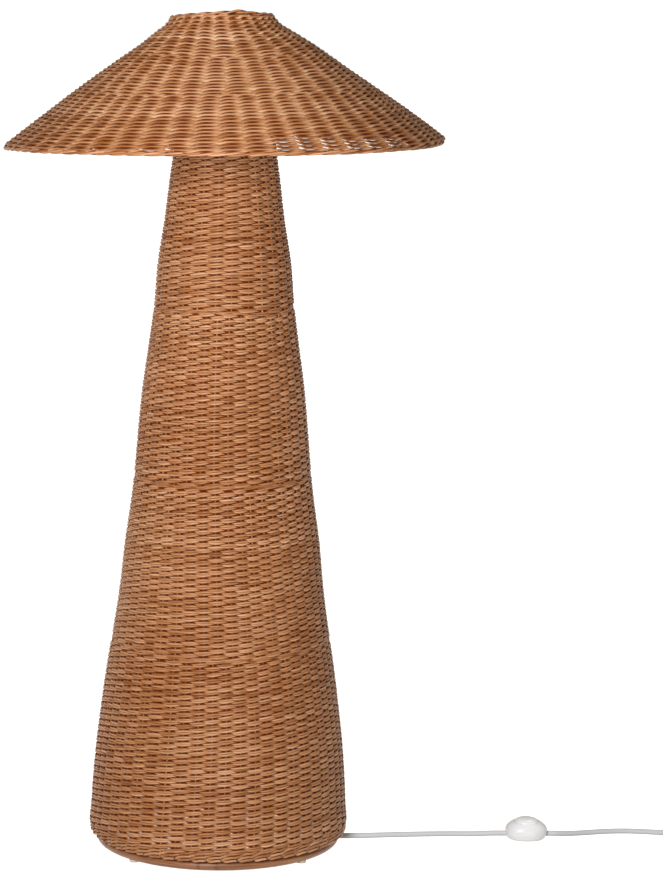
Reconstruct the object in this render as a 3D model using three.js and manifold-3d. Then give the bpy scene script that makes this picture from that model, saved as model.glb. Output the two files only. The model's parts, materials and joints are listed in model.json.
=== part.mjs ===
// A woven rattan floor lamp: a tall tapering body, a wide conical shade that hangs on a
// lampholder, and a white lead with a foot switch in it. Millimetres, +Z up, front towards
// -Y, origin on the floor under the axis of the shade.

import * as THREE from 'three';
import { mergeVertices } from 'three/addons/utils/BufferGeometryUtils.js';
import Module from 'manifold-3d';

const wasm = await Module();
wasm.setup();

// Overall sizes
const lampHeight = 1080;
const shadeDiameter = 561;
const shadeHeight = 168;

// Clearances
const seatGap = 0.3; // between pieces that rest on each other
const slideGap = 0.5; // round pieces that slide or turn
const cutOverrun = 1; // how far a cutting tool runs past what it cuts

// Woven body
const bodyTopDrop = 150; // from the top of the shade down to the top of the body
const bodyTopRadius = 63;
const bodyFootHeight = 30;
const bodyFootRadius = 168;
const bodyWall = 9;
const bandHeight = 690; // below it the stakes are doubled, above it they are single
const topBorderThickness = 10;
const footBorderCurl = 8; // how far the foot border curls in over the hoop
const footBorderInset = 3.5; // from the foot ring's wire to the border's inner edge
// Height and radius of the outside, as shares of the way from the foot to the top.
const bodyOutlineShares = [
  [0, 1],
  [0.033, 0.976],
  [0.116, 0.929],
  [0.236, 0.793],
  [0.413, 0.592],
  [0.589, 0.428],
  [0.762, 0.257],
  [1, 0],
];
// Outside of the foot border: share of the curl, and share of the border's height.
const footBorderShares = [
  [1, 0],
  [0.4, 0.12],
  [0.08, 0.4],
  [0, 0.75],
  [0, 1],
];

// Foot hoop and glides
const hoopInset = 16.5; // from the outside of the body's foot to the hoop's middle
const hoopThickness = 12;
const glideHeight = 4;
const glideRadius = 6.5;
const glideEdge = 1.2;
const glideStemRadius = 1.4;
const glideStemLength = 6;
const glideAngles = { front_left: 225, front_right: 315, back_right: 45, back_left: 135 };

// Steel frame inside the body
const ringWireRadius = 3;
const rodWireRadius = 2.5;
const rodCount = 4;
const topRingDrop = 15; // from the top of the body down to the frame's top ring
const weldShare = 0.8; // of the two wires' radii, between their centres at a weld
const lugLength = 16;
const lugWidth = 14;
const lugThickness = 3;

// Bracket across the frame's top ring
const bracketWidth = 20;
const bracketThickness = 3;
const bracketAngle = 45;
const bracketEndRoom = 8; // from a screw to the bracket's end
const screwRadius = 2;
const screwHeadRadius = 4;
const screwHeadHeight = 2.6;
const screwLength = 9;

// Threaded tube that carries the lampholder
const tubeRadius = 5;
const tubeBoreRadius = 4.1;
const tubeBelow = 14; // below the bracket
const tubeAbove = 9; // above the bracket
const nutRadius = 8; // across the corners
const nutHeight = 5;
const washerRadius = 8.5;
const washerThickness = 1;

// Lampholder
const holderRadius = 20;
const holderWall = 2.5;
const holderCapHeight = 16;
const holderCapShoulderShare = 0.45; // of the cap's height, up to its widest
const holderNeckRadius = 12;
const holderFloor = 2;
const holderShellHeight = 45;
const holderLipHeight = 2;
const holderLipRadius = 15;
const coreWall = 2.2;
const coreFloorHeight = 15;
const screwShellRadius = 13.6; // inside
const screwShellWall = 0.6;
const screwShellHeight = 25;
const contactRadius = 4;
const contactHeight = 1.4;
const shadeSeatDepth = 31; // from the mouth down to where the shade rests
const seatRingHeight = 6;
const shadeRingHeight = 6.5;
const gripRadius = 25;
const gripDepth = 1;
const gripCount = 12;

// Shade
const shadeWall = 8;
const coneShoulderRadius = 70.5;
const coneRimInset = 2; // from the rim's widest to the foot of the cone
const collarRadius = 66;
const collarWall = 8;
const collarHeight = 11;
const collarRound = 2.5;
const rimThickness = 10;
const fitterRadius = 21; // inside, over the lampholder
const fitterWidth = 6;
const fitterThickness = 2;
const carrierWireRadius = 2.5;
const carrierRingDrop = 5; // below the top of the cone
const armWireRadius = 2;
const armWeld = 1; // how far an arm runs into the fitter
const armCount = 3;
// Way out and way up along an arm, as shares, from the fitter to the carrier's ring.
const armShares = [
  [0, 0],
  [0.2, 0.02],
  [0.42, 0.16],
  [0.72, 0.55],
  [1, 1],
];

// Bulb
const bulbLength = 98;
const bulbTipRadius = 5;
const bulbTipHeight = 2.6;
const bulbInsulatorRadius = 9;
const bulbCapRadius = 13.1;
const bulbCapTaper = 4;
const bulbNeckRadius = 14.4;
const bulbCollarHeight = 20;
const bulbRadius = 18;
// Outside of the globe above the collar: shares of its height and of its largest radius.
const globeShares = [
  [0, 0.97],
  [0.16, 1],
  [0.36, 0.97],
  [0.56, 0.86],
  [0.76, 0.64],
  [0.91, 0.37],
  [0.98, 0.16],
];

// Lead
const cordRadius = 3.5;
const cordExitBack = 7; // how far behind the axis the lead leaves the foot
const grommetWall = 1.5;
const leadRoom = 1; // between the lead inside and the rod it is tied to
const tieWidth = 4;
const tieThickness = 1.1;
const tieShares = { low: 0.17, middle: 0.444, high: 0.79 }; // of the body's height

// Foot switch
const switchX = 409.5;
const switchY = 12;
const switchLength = 56;
const switchWidth = 46;
const switchPartingHeight = 12;
const switchCoverTop = 23.5;
const switchButtonRadius = 16.2;
const switchButtonEdge = 22.5; // where the button's dome starts
const switchButtonTop = 29;
const switchTravel = 2.5;
const switchCordHeight = 7;
const switchCordDepth = 9; // how far the lead goes into the housing
const ovalShare = 0.86; // under 1 makes an oval fuller than an ellipse
// Lower shell: share of the way up to the parting line, then of length and of width.
const switchBaseShares = [
  [0, 0.76, 0.78],
  [0.12, 0.84, 0.86],
  [0.45, 0.95, 0.95],
  [0.8, 0.995, 0.995],
  [1, 1, 1],
];
// Upper shell: share of the way up from the parting line, then of length and of width.
const switchCoverShares = [
  [0, 1, 1],
  [0.22, 0.985, 0.985],
  [0.55, 0.9, 0.92],
  [0.85, 0.75, 0.83],
  [1, 0.66, 0.78],
];
// Button above its edge: shares of its radius and of the dome's height.
const buttonShares = [
  [1, 0],
  [0.95, 0.35],
  [0.8, 0.65],
  [0.55, 0.87],
  [0.28, 0.97],
];

// Coil of the length that isn't laid out
const coilX = 662;
const coilY = -22;
const coilLayers = 4;
const coilTurnsPerLayer = 2;
const coilPitch = 7.6; // from turn to turn and from layer to layer
const coilOuterRadius = 47.2;
const coilTieThickness = 0.8;
const coilTieWidth = 9;
const coilTieGap = 0.9;
const coilTieTurnShare = 0.58; // of a turn, from the coil's start to its tie
const coilTieCornerShare = 0.75; // of the lead's radius, cut off the tie's corners

// Plug
const plugWidth = 35;
const plugThickness = 13.6;
const plugLength = 36;
const plugReliefLength = 30;
const plugReliefTipRadius = 4.6;
const plugReliefFootRadius = 5.8;
const plugPinRadius = 2;
const plugPinLength = 19;
const plugPinSpacing = 18.6;
const plugPinDepth = 6; // how far a pin is set into the body
// Body from the relief to the pins: shares of its length, width and thickness.
const plugShares = [
  [0.06, 0.48, 0.88],
  [0.24, 0.7, 0.97],
  [0.48, 0.97, 1],
  [0.9, 1, 1],
  [1, 0.94, 0.92],
];

// Routes of the lead: points chosen by hand along its way. Inside the foot they start from
// where the lead leaves it, and inside the head from the middle of the frame's top ring.
const footRoute = [
  [-8.5, 7, 3.5],
  [-16.5, 7, 3.5],
  [-24.3, 7, 4.5],
  [-31.5, 7, 7.5],
  [-37.7, 7, 12.3],
  [-42.5, 6.8, 18.5],
  [-45.5, 6.5, 25.7],
  [-46.5, 6.2, 33.5],
  [-45.7, 5.8, 41],
  [-43, 5, 54],
  [-38, 4, 78],
  [-32.5, 2.6, 104],
  [-27, 1, 128],
];
const headRoute = [
  [50, 0, -115],
  [39, 0, -93],
  [25.5, 0, -74],
  [12.5, 0, -57],
  [3.6, 0, -40],
  [0.4, 0, -25],
  [0, 0, -12],
];
const nearRoute = [
  [170, 7.3, 3.5],
  [186, 8.2, 3.5],
  [204, 10, 3.5],
  [222, 12.2, 3.5],
  [242, 14.4, 3.5],
  [262, 16.4, 3.5],
  [282, 18, 3.52],
  [302, 19, 3.55],
  [320, 19, 3.65],
  [336, 17.4, 4.2],
  [350, 15, 5.4],
  [362, 12.9, 6.5],
  [372, 12, 7],
  [382, 12, 7],
];
const farRoute = [
  [437, 12, 7],
  [447, 12.3, 6.9],
  [456, 14.6, 6],
  [468, 19, 5],
  [482, 24, 4.2],
  [498, 29.5, 3.75],
  [516, 34, 3.6],
  [534, 36.8, 3.55],
  [552, 37, 3.55],
  [570, 34.7, 3.55],
  [590, 31, 3.6],
  [610, 28, 3.8],
  [628, 26.2, 4.4],
  [644, 25.4, 5],
];
const endRoute = [
  [676, 25.2, 27.9],
  [687.6, 23.6, 26.4],
  [698.5, 19, 22.5],
  [707.8, 11.8, 17.4],
  [715, 2.5, 12.4],
  [719.5, -8.4, 8.4],
  [721, -20, 6.8],
  [721, -26, 6.8],
];
const endPoint = [721, -32];

// How finely round shapes are cut
const wideSides = 40;
const holderSides = 24;
const smallSides = 12;
const ovalSides = 28;
const wireSides = 6;
const borderSides = 8;
const cordSides = 8;
const coilSides = 6;
const coilSteps = 24;
const insideSteps = 60;
const nearSteps = 15;
const farSteps = 15;
const endSteps = 9;
const rodSteps = 24;
const armSteps = 8;
const mergeDistance = 1e-4;

// Places that follow from the sizes
const hoopRadius = bodyFootRadius - hoopInset;
const bodyTopHeight = lampHeight - bodyTopDrop;
const topRingHeight = bodyTopHeight - topRingDrop;
const hoopHeight = glideHeight + seatGap + hoopThickness / 2;
const hoopTop = hoopHeight + hoopThickness / 2;
const footRingHeight = hoopTop + seatGap + ringWireRadius;
const weldInset = (ringWireRadius + rodWireRadius) * weldShare;
const bracketBottom = topRingHeight + ringWireRadius + seatGap;
const bracketTop = bracketBottom + bracketThickness;
const bracketReach = frameRingRadius(topRingHeight);
const screwReach = bracketReach - bracketEndRoom;
const holderBottom = bracketTop + seatGap;
const shellBottom = holderBottom + holderCapHeight + seatGap;
const holderMouth = shellBottom + holderShellHeight;
const coreRadius = holderRadius - holderWall - seatGap;
const coreBottom = shellBottom + seatGap;
const coreTop = holderMouth - holderLipHeight - seatGap;
const coreFloor = coreBottom + coreFloorHeight;
const contactTop = coreFloor + seatGap + contactHeight;
const fitterBottom = holderMouth - shadeSeatDepth;
const fitterTop = fitterBottom + fitterThickness;
const seatRingTop = fitterBottom - seatGap;
const shadeRingBottom = fitterTop + seatGap;
const shadeRimRadius = shadeDiameter / 2;
const rimHeight = lampHeight - shadeHeight + rimThickness / 2;
const coneBottom = rimHeight + rimThickness / 2 + seatGap;
const coneTop = lampHeight - collarHeight - seatGap;
const coneRimRadius = shadeRimRadius - coneRimInset;
const coneSpread = (coneRimRadius - coneShoulderRadius) / (coneTop - coneBottom);
const coneStretch = Math.hypot(1, coneSpread); // level width over true thickness
const coneInnerTop = coneShoulderRadius - shadeWall * coneStretch;
const carrierRingHeight = coneTop - carrierRingDrop;
const carrierRingRadius =
  coneInnerTop + carrierRingDrop * coneSpread - (carrierWireRadius + seatGap) * coneStretch;
const bulbBottom = contactTop + seatGap;
const bulbCapBottom = bulbBottom + bulbTipHeight + seatGap;
const bulbCollarBottom = holderMouth + seatGap;
const globeBottom = bulbCollarBottom + bulbCollarHeight + seatGap;
const bulbTop = bulbBottom + bulbLength;
const cordExit = hoopRadius + hoopThickness / 2;
const grommetRadius = cordRadius + slideGap + grommetWall;
const notchRadius = grommetRadius + slideGap;
const leadInset = rodWireRadius + leadRoom + cordRadius; // from a rod's centre to the lead's
const coilBottomHeight = coilTieThickness + coilTieGap + cordRadius;
const coilRise = (coilLayers - 1) * coilPitch;
const coilInnerRadius = coilOuterRadius - coilTurnsPerLayer * coilPitch;
const plugHeight = plugThickness / 2;
const buttonBottom = switchPartingHeight + seatGap + switchTravel;

// Finishes
const rattan = finish('#b97c4c', 0.6, 0);
const rattanPole = finish('#a86a3d', 0.5, 0);
const steel = finish('#2a2a2b', 0.5, 0.3);
const zinc = finish('#b9bbbd', 0.35, 0.9);
const brass = finish('#c9a24a', 0.3, 0.9);
const blackPlastic = finish('#202122', 0.45, 0);
const whitePlastic = finish('#eceded', 0.35, 0);
const whiteCord = finish('#dcdcda', 0.75, 0);
const palePlastic = finish('#d8d2c6', 0.35, 0);
const opal = finish('#f7f4ea', 0.25, 0);

function finish(color, roughness, metalness) {
  return new THREE.MeshStandardMaterial({ color, roughness, metalness });
}

function piece(name, geometry, material) {
  const mesh = new THREE.Mesh(geometry, material);
  mesh.name = name;
  return mesh;
}

function assembly(...children) {
  const group = new THREE.Group();
  group.add(...children);
  return group;
}

// Shapes

function toRadians(degrees) {
  return THREE.MathUtils.degToRad(degrees);
}

function lathe(outline, sides) {
  const profile = outline.map(([radius, height]) => new THREE.Vector2(radius, height));
  return new THREE.LatheGeometry(profile, sides).rotateX(Math.PI / 2);
}

// A closed outline of radius and height, its outside going up.
function revolveRing(outline, sides) {
  return lathe([...outline, outline[0]], sides);
}

function washerOutline(outer, inner, bottom, top) {
  return [[outer, bottom], [outer, top], [inner, top], [inner, bottom]];
}

function circlePoints(radius, sides) {
  return Array.from({ length: sides }, (_, i) => {
    const angle = (2 * Math.PI * i) / sides;
    return new THREE.Vector2(radius * Math.cos(angle), radius * Math.sin(angle));
  });
}

function circleHole(x, y, radius, sides) {
  return new THREE.Path(circlePoints(radius, sides).map((p) => new THREE.Vector2(p.x + x, p.y + y)));
}

function ring(radius, wireRadius, height, facets) {
  return new THREE.TorusGeometry(radius, wireRadius, facets, wideSides).translate(0, 0, height);
}

function rod(radius, bottom, top, sides) {
  const geometry = new THREE.CylinderGeometry(radius, radius, top - bottom, sides);
  return geometry.rotateX(Math.PI / 2).translate(0, 0, (bottom + top) / 2);
}

function extrude(shape, depth) {
  return new THREE.ExtrudeGeometry(shape, { depth, bevelEnabled: false });
}

function tube(points, radius, sides, steps) {
  const extrudePath = new THREE.CatmullRomCurve3(points.map((p) => new THREE.Vector3(...p)));
  const section = new THREE.Shape(circlePoints(radius, sides));
  return new THREE.ExtrudeGeometry(section, { steps, bevelEnabled: false, extrudePath });
}

// Joins rings with the same number of points into one closed body with flat ends.
function loft(rings) {
  const count = rings[0].length;
  const last = (rings.length - 1) * count;
  const faces = [];
  for (let r = 0; r + 1 < rings.length; r += 1) {
    for (let i = 0; i < count; i += 1) {
      const here = r * count + i;
      const next = r * count + ((i + 1) % count);
      faces.push(here, next, next + count, here, next + count, here + count);
    }
  }
  for (let i = 1; i + 1 < count; i += 1) {
    faces.push(0, i + 1, i, last, last + i, last + i + 1);
  }
  const vertices = rings.flat().flatMap((p) => [p.x, p.y, p.z]);
  const geometry = new THREE.BufferGeometry();
  geometry.setAttribute('position', new THREE.Float32BufferAttribute(vertices, 3));
  geometry.setIndex(faces);
  return geometry;
}

// A full oval, level at a height.
function ovalRing(halfLength, halfWidth, height) {
  return circlePoints(1, ovalSides).map((unit) => {
    const along = Math.sign(unit.x) * Math.abs(unit.x) ** ovalShare;
    const across = Math.sign(unit.y) * Math.abs(unit.y) ** ovalShare;
    return new THREE.Vector3(along * halfLength, across * halfWidth, height);
  });
}

// A closed loop of strip round a slot with round ends, its long way along X, level.
function slotBand(halfStraight, innerRadius, wall, width) {
  const outline = (radius) => {
    const half = circlePoints(radius, smallSides);
    const shift = (p) => (p.x > 0 ? halfStraight : -halfStraight);
    return half.map((p) => new THREE.Vector2(p.x + shift(p), p.y));
  };
  const shape = new THREE.Shape(outline(innerRadius + wall));
  shape.holes.push(new THREE.Path(outline(innerRadius)));
  return extrude(shape, width).translate(0, 0, -width / 2);
}

// Booleans

function toSolid(geometry) {
  const bare = geometry.clone();
  bare.deleteAttribute('normal');
  bare.deleteAttribute('uv');
  const merged = mergeVertices(bare, mergeDistance);
  const corners = merged.index.array;
  const kept = [];
  for (let i = 0; i < corners.length; i += 3) {
    const [a, b, c] = corners.slice(i, i + 3);
    if (a !== b && b !== c && c !== a) kept.push(a, b, c);
  }
  const vertProperties = merged.attributes.position.array;
  const triVerts = new Uint32Array(kept);
  return new wasm.Manifold(new wasm.Mesh({ numProp: 3, vertProperties, triVerts }));
}

function fromSolid(solid) {
  const mesh = solid.getMesh();
  const geometry = new THREE.BufferGeometry();
  geometry.setAttribute('position', new THREE.BufferAttribute(mesh.vertProperties, 3));
  geometry.setIndex(new THREE.BufferAttribute(mesh.triVerts, 1));
  return geometry;
}

function join(...geometries) {
  return fromSolid(geometries.map(toSolid).reduce((sum, next) => sum.add(next)));
}

function cut(geometry, ...tools) {
  return fromSolid(tools.map(toSolid).reduce((rest, tool) => rest.subtract(tool), toSolid(geometry)));
}

// Woven body

function bodyRadius(height) {
  const wanted = (height - bodyFootHeight) / (bodyTopHeight - bodyFootHeight);
  const above = Math.max(1, bodyOutlineShares.findIndex(([share]) => share >= wanted));
  const [lowShare, lowRadius] = bodyOutlineShares[above - 1];
  const [highShare, highRadius] = bodyOutlineShares[above];
  const along = (wanted - lowShare) / (highShare - lowShare);
  const radiusShare = lowRadius + (highRadius - lowRadius) * along;
  return bodyTopRadius + (bodyFootRadius - bodyTopRadius) * radiusShare;
}

function bodyHeight(share) {
  return bodyFootHeight + (bodyTopHeight - bodyFootHeight) * share;
}

function bodyOutlineHeights() {
  return bodyOutlineShares.map(([share]) => bodyHeight(share));
}

function wovenBody() {
  const outside = bodyOutlineHeights().map((height) => [bodyRadius(height), height]);
  const inside = outside.map(([radius, height]) => [radius - bodyWall, height]).reverse();
  return revolveRing([...outside, ...inside], wideSides);
}

function bodyTopBorder() {
  const thickness = topBorderThickness / 2;
  const radius = bodyTopRadius - bodyWall / 2;
  return ring(radius, thickness, bodyTopHeight + seatGap + thickness, borderSides);
}

function bodyFootBorder() {
  const bottom = hoopTop + seatGap;
  const top = bodyFootHeight - seatGap;
  const outside = footBorderShares.map(([curlShare, heightShare]) => [
    bodyFootRadius - footBorderCurl * curlShare,
    bottom + (top - bottom) * heightShare,
  ]);
  const innerFoot = hoopRadius + ringWireRadius + footBorderInset / 2;
  const inside = [[bodyFootRadius - bodyWall, top], [innerFoot, bottom]];
  return revolveRing([...outside, ...inside], wideSides);
}

// Foot hoop, glides and the place where the lead leaves

function atGlide(geometry, angle) {
  const turn = toRadians(angle);
  return geometry.translate(hoopRadius * Math.cos(turn), hoopRadius * Math.sin(turn), 0);
}

function alongCordExit(geometry) {
  return geometry.rotateY(Math.PI / 2).translate(0, cordExitBack, cordRadius);
}

function footHoop() {
  const pole = ring(hoopRadius, hoopThickness / 2, hoopHeight, borderSides);
  const stemTop = glideHeight + glideStemLength + seatGap;
  const holes = Object.values(glideAngles).map((angle) =>
    atGlide(rod(glideStemRadius + slideGap, 0, stemTop, borderSides), angle),
  );
  const inner = hoopRadius - hoopThickness / 2 - cutOverrun;
  const notch = alongCordExit(rod(notchRadius, inner, cordExit + cutOverrun, smallSides));
  return cut(pole, ...holes, notch);
}

function glide(angle) {
  const outline = [
    [0, 0],
    [glideRadius - glideEdge, 0],
    [glideRadius, glideEdge],
    [glideRadius, glideHeight],
    [glideStemRadius, glideHeight],
    [glideStemRadius, glideHeight + glideStemLength],
    [0, glideHeight + glideStemLength],
  ];
  return atGlide(lathe(outline, smallSides), angle);
}

// An arch over the lead, open towards the floor, in the hoop's notch.
function cordGrommet() {
  const inner = grommetRadius - grommetWall;
  const rise = glideHeight + seatGap - cordRadius;
  const arc = (radius) => {
    const start = Math.asin(rise / radius);
    const step = (Math.PI - 2 * start) / borderSides;
    return Array.from({ length: borderSides + 1 }, (_, i) => {
      const angle = start + step * i;
      return new THREE.Vector2(-radius * Math.sin(angle), radius * Math.cos(angle));
    });
  };
  const shape = new THREE.Shape([...arc(grommetRadius), ...arc(inner).reverse()]);
  const arch = extrude(shape, hoopThickness).translate(0, 0, hoopRadius - hoopThickness / 2);
  return alongCordExit(arch);
}

// Steel frame

function frameRingRadius(height) {
  return bodyRadius(height) - bodyWall - seatGap - ringWireRadius;
}

function rodCentreRadius(height) {
  return frameRingRadius(height) - weldInset;
}

function frameRod(turn) {
  const foot = [hoopRadius - weldInset, 0, footRingHeight];
  const heights = bodyOutlineHeights().slice(1, -1);
  const rise = heights.map((height) => [rodCentreRadius(height), 0, height]);
  const head = [rodCentreRadius(topRingHeight), 0, topRingHeight];
  return tube([foot, ...rise, head], rodWireRadius, wireSides, rodSteps).rotateZ(turn);
}

function frameLug(turn) {
  const shape = new THREE.Shape([
    new THREE.Vector2(bracketReach - lugLength, -lugWidth / 2),
    new THREE.Vector2(bracketReach, -lugWidth / 2),
    new THREE.Vector2(bracketReach, lugWidth / 2),
    new THREE.Vector2(bracketReach - lugLength, lugWidth / 2),
  ]);
  shape.holes.push(circleHole(screwReach, 0, screwRadius + slideGap, smallSides));
  const top = topRingHeight + ringWireRadius;
  return extrude(shape, lugThickness).translate(0, 0, top - lugThickness).rotateZ(turn);
}

function bodyFrame() {
  const rings = [
    ring(hoopRadius, ringWireRadius, footRingHeight, wireSides),
    ring(frameRingRadius(bandHeight), ringWireRadius, bandHeight, wireSides),
    ring(bracketReach, ringWireRadius, topRingHeight, wireSides),
  ];
  const rods = Array.from({ length: rodCount }, (_, i) => frameRod((2 * Math.PI * i) / rodCount));
  const lugs = [0, 1].map((side) => frameLug(toRadians(bracketAngle) + Math.PI * side));
  return join(...rings, ...rods, ...lugs);
}

// Bracket, its screws, and the threaded tube with its nut and washer

function holderBracket() {
  const shape = new THREE.Shape([
    new THREE.Vector2(-bracketReach, -bracketWidth / 2),
    new THREE.Vector2(bracketReach, -bracketWidth / 2),
    new THREE.Vector2(bracketReach, bracketWidth / 2),
    new THREE.Vector2(-bracketReach, bracketWidth / 2),
  ]);
  shape.holes.push(circleHole(0, 0, tubeRadius + slideGap, smallSides));
  shape.holes.push(circleHole(screwReach, 0, screwRadius + slideGap, smallSides));
  shape.holes.push(circleHole(-screwReach, 0, screwRadius + slideGap, smallSides));
  return extrude(shape, bracketThickness).translate(0, 0, bracketBottom);
}

function bracketScrew(x) {
  const seat = bracketTop + seatGap;
  const top = seat + screwHeadHeight;
  const outline = [
    [0, seat - screwLength],
    [screwRadius, seat - screwLength],
    [screwRadius, seat],
    [screwHeadRadius, seat],
    [screwHeadRadius, top - screwHeadHeight / 2],
    [screwHeadRadius / 2, top],
    [0, top],
  ];
  return lathe(outline, smallSides).translate(x, 0, 0);
}

function threadedTube() {
  const bottom = bracketBottom - tubeBelow;
  const top = bracketTop + tubeAbove;
  return revolveRing(washerOutline(tubeRadius, tubeBoreRadius, bottom, top), smallSides);
}

function tubeWasher() {
  const top = bracketBottom - seatGap;
  const hole = tubeRadius + slideGap;
  return revolveRing(washerOutline(washerRadius, hole, top - washerThickness, top), smallSides);
}

function tubeNut() {
  const shape = new THREE.Shape(circlePoints(nutRadius, 6));
  shape.holes.push(circleHole(0, 0, tubeRadius + slideGap, smallSides));
  const top = bracketBottom - seatGap - washerThickness - seatGap;
  return extrude(shape, nutHeight).translate(0, 0, top - nutHeight);
}

// Lampholder

function holderCap() {
  const shoulder = holderBottom + holderCapHeight * holderCapShoulderShare;
  const top = holderBottom + holderCapHeight;
  const hole = tubeRadius + slideGap;
  const outline = [
    [holderNeckRadius, holderBottom],
    [holderRadius, shoulder],
    [holderRadius, top],
    [holderRadius - holderWall, top],
    [holderRadius - holderWall, shoulder + holderFloor / 2],
    [holderNeckRadius, holderBottom + holderFloor],
    [hole, holderBottom + holderFloor],
    [hole, holderBottom],
  ];
  return revolveRing(outline, holderSides);
}

function holderShell() {
  const inside = holderRadius - holderWall;
  const outline = [
    [holderRadius, shellBottom],
    [holderRadius, holderMouth],
    [holderLipRadius, holderMouth],
    [holderLipRadius, holderMouth - holderLipHeight],
    [inside, holderMouth - holderLipHeight],
    [inside, shellBottom],
  ];
  return revolveRing(outline, holderSides);
}

function holderCore() {
  const inside = coreRadius - coreWall;
  const outline = [
    [0, coreBottom],
    [coreRadius, coreBottom],
    [coreRadius, coreTop],
    [inside, coreTop],
    [inside, coreFloor],
    [0, coreFloor],
  ];
  return lathe(outline, holderSides);
}

function screwShell() {
  const bottom = coreFloor + seatGap;
  const outer = screwShellRadius + screwShellWall;
  const outline = washerOutline(outer, screwShellRadius, bottom, bottom + screwShellHeight);
  return revolveRing(outline, holderSides);
}

function centreContact() {
  return rod(contactRadius, coreFloor + seatGap, contactTop, smallSides);
}

// A ring with finger grips round its edge.
function gripRing(inner, bottom, height) {
  const edge = circlePoints(gripRadius, gripCount * 4).map((point, i) =>
    i % 4 === 0 ? point.multiplyScalar(1 - gripDepth / gripRadius) : point,
  );
  const shape = new THREE.Shape(edge);
  shape.holes.push(circleHole(0, 0, inner, holderSides));
  return extrude(shape, height).translate(0, 0, bottom);
}

// Shade

function wovenShade() {
  const across = shadeWall * coneStretch;
  const outline = [
    [coneRimRadius, coneBottom],
    [coneShoulderRadius, coneTop],
    [coneShoulderRadius - across, coneTop],
    [coneRimRadius - across, coneBottom],
  ];
  return revolveRing(outline, wideSides);
}

function shadeRimBorder() {
  return ring(shadeRimRadius - rimThickness / 2, rimThickness / 2, rimHeight, borderSides);
}

function shadeTopBorder() {
  const bottom = coneTop + seatGap;
  const inner = collarRadius - collarWall;
  const outline = [
    [collarRadius - collarRound, bottom],
    [collarRadius, bottom + collarRound],
    [collarRadius, lampHeight - collarRound],
    [collarRadius - collarRound, lampHeight],
    [inner + collarRound, lampHeight],
    [inner, lampHeight - collarRound],
    [inner, bottom + collarRound],
    [inner + collarRound, bottom],
  ];
  return revolveRing(outline, wideSides);
}

function carrierArm(turn) {
  const start = fitterRadius + fitterWidth - armWeld;
  const middle = fitterBottom + fitterThickness / 2;
  const points = armShares.map(([outShare, upShare]) => [
    start + (carrierRingRadius - start) * outShare,
    0,
    middle + (carrierRingHeight - middle) * upShare,
  ]);
  return tube(points, armWireRadius, wireSides, armSteps).rotateZ(turn);
}

function shadeCarrier() {
  const outer = fitterRadius + fitterWidth;
  const fitter = washerOutline(outer, fitterRadius, fitterBottom, fitterTop);
  const arms = Array.from({ length: armCount }, (_, i) => carrierArm((2 * Math.PI * i) / armCount));
  const wire = ring(carrierRingRadius, carrierWireRadius, carrierRingHeight, wireSides);
  return join(revolveRing(fitter, holderSides), wire, ...arms);
}

// Bulb

function bulbCap() {
  const outline = [
    [0, bulbCapBottom],
    [bulbInsulatorRadius, bulbCapBottom],
    [bulbCapRadius, bulbCapBottom + bulbCapTaper],
    [bulbCapRadius, bulbCollarBottom - seatGap],
    [0, bulbCollarBottom - seatGap],
  ];
  return lathe(outline, holderSides);
}

function bulbCollar() {
  const top = globeBottom - seatGap;
  const outline = [
    [0, bulbCollarBottom],
    [bulbNeckRadius, bulbCollarBottom],
    [bulbRadius * globeShares[0][1], top],
    [0, top],
  ];
  return lathe(outline, holderSides);
}

function bulbGlobe() {
  const height = bulbTop - globeBottom;
  const outside = globeShares.map(([heightShare, radiusShare]) => [
    bulbRadius * radiusShare,
    globeBottom + height * heightShare,
  ]);
  return lathe([[0, globeBottom], ...outside, [0, bulbTop]], holderSides);
}

// Lead

function leadRadius(height) {
  return rodCentreRadius(height) - leadInset;
}

function leadInside() {
  const start = [cordExit - seatGap / 2, cordExitBack, cordRadius];
  const bends = bodyOutlineHeights().slice(3, -1);
  const held = [...Object.values(tieShares).map(bodyHeight), ...bends].sort((a, b) => a - b);
  const foot = footRoute.map(([x, y, z]) => [cordExit + x, y, z]);
  const rise = held.map((height) => [leadRadius(height), 0, height]);
  const head = headRoute.map(([x, y, z]) => [x, y, topRingHeight + z]);
  const top = [0, 0, coreBottom - seatGap];
  return tube([start, ...foot, ...rise, ...head, top], cordRadius, cordSides, insideSteps);
}

// A strap round a frame rod and the lead beside it, square to both.
function leadTie(height) {
  const lean = (rodCentreRadius(height + tieWidth) - rodCentreRadius(height)) / tieWidth;
  const band = slotBand(leadInset / 2, cordRadius + leadRoom, tieThickness, tieWidth);
  const middle = rodCentreRadius(height) - leadInset / 2;
  return band.rotateY(Math.atan(lean)).translate(middle, 0, height);
}

function leadToSwitch() {
  const start = [cordExit + seatGap / 2, cordExitBack, cordRadius];
  const end = [switchX - switchLength / 2 + switchCordDepth, switchY, switchCordHeight];
  return tube([start, ...nearRoute, end], cordRadius, cordSides, nearSteps);
}

function leadToCoil() {
  const start = [switchX + switchLength / 2 - switchCordDepth, switchY, switchCordHeight];
  const straight = 2 * cordRadius;
  const end = [coilX - straight - seatGap, coilY + coilOuterRadius, coilBottomHeight];
  return tube([start, ...farRoute, end], cordRadius, cordSides, farSteps);
}

function leadToPlug() {
  const straight = 2 * cordRadius;
  const height = coilBottomHeight + coilRise;
  const start = [coilX + straight + seatGap, coilY + coilOuterRadius, height];
  return tube([start, ...endRoute, [...endPoint, plugHeight]], cordRadius, cordSides, endSteps);
}

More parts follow.
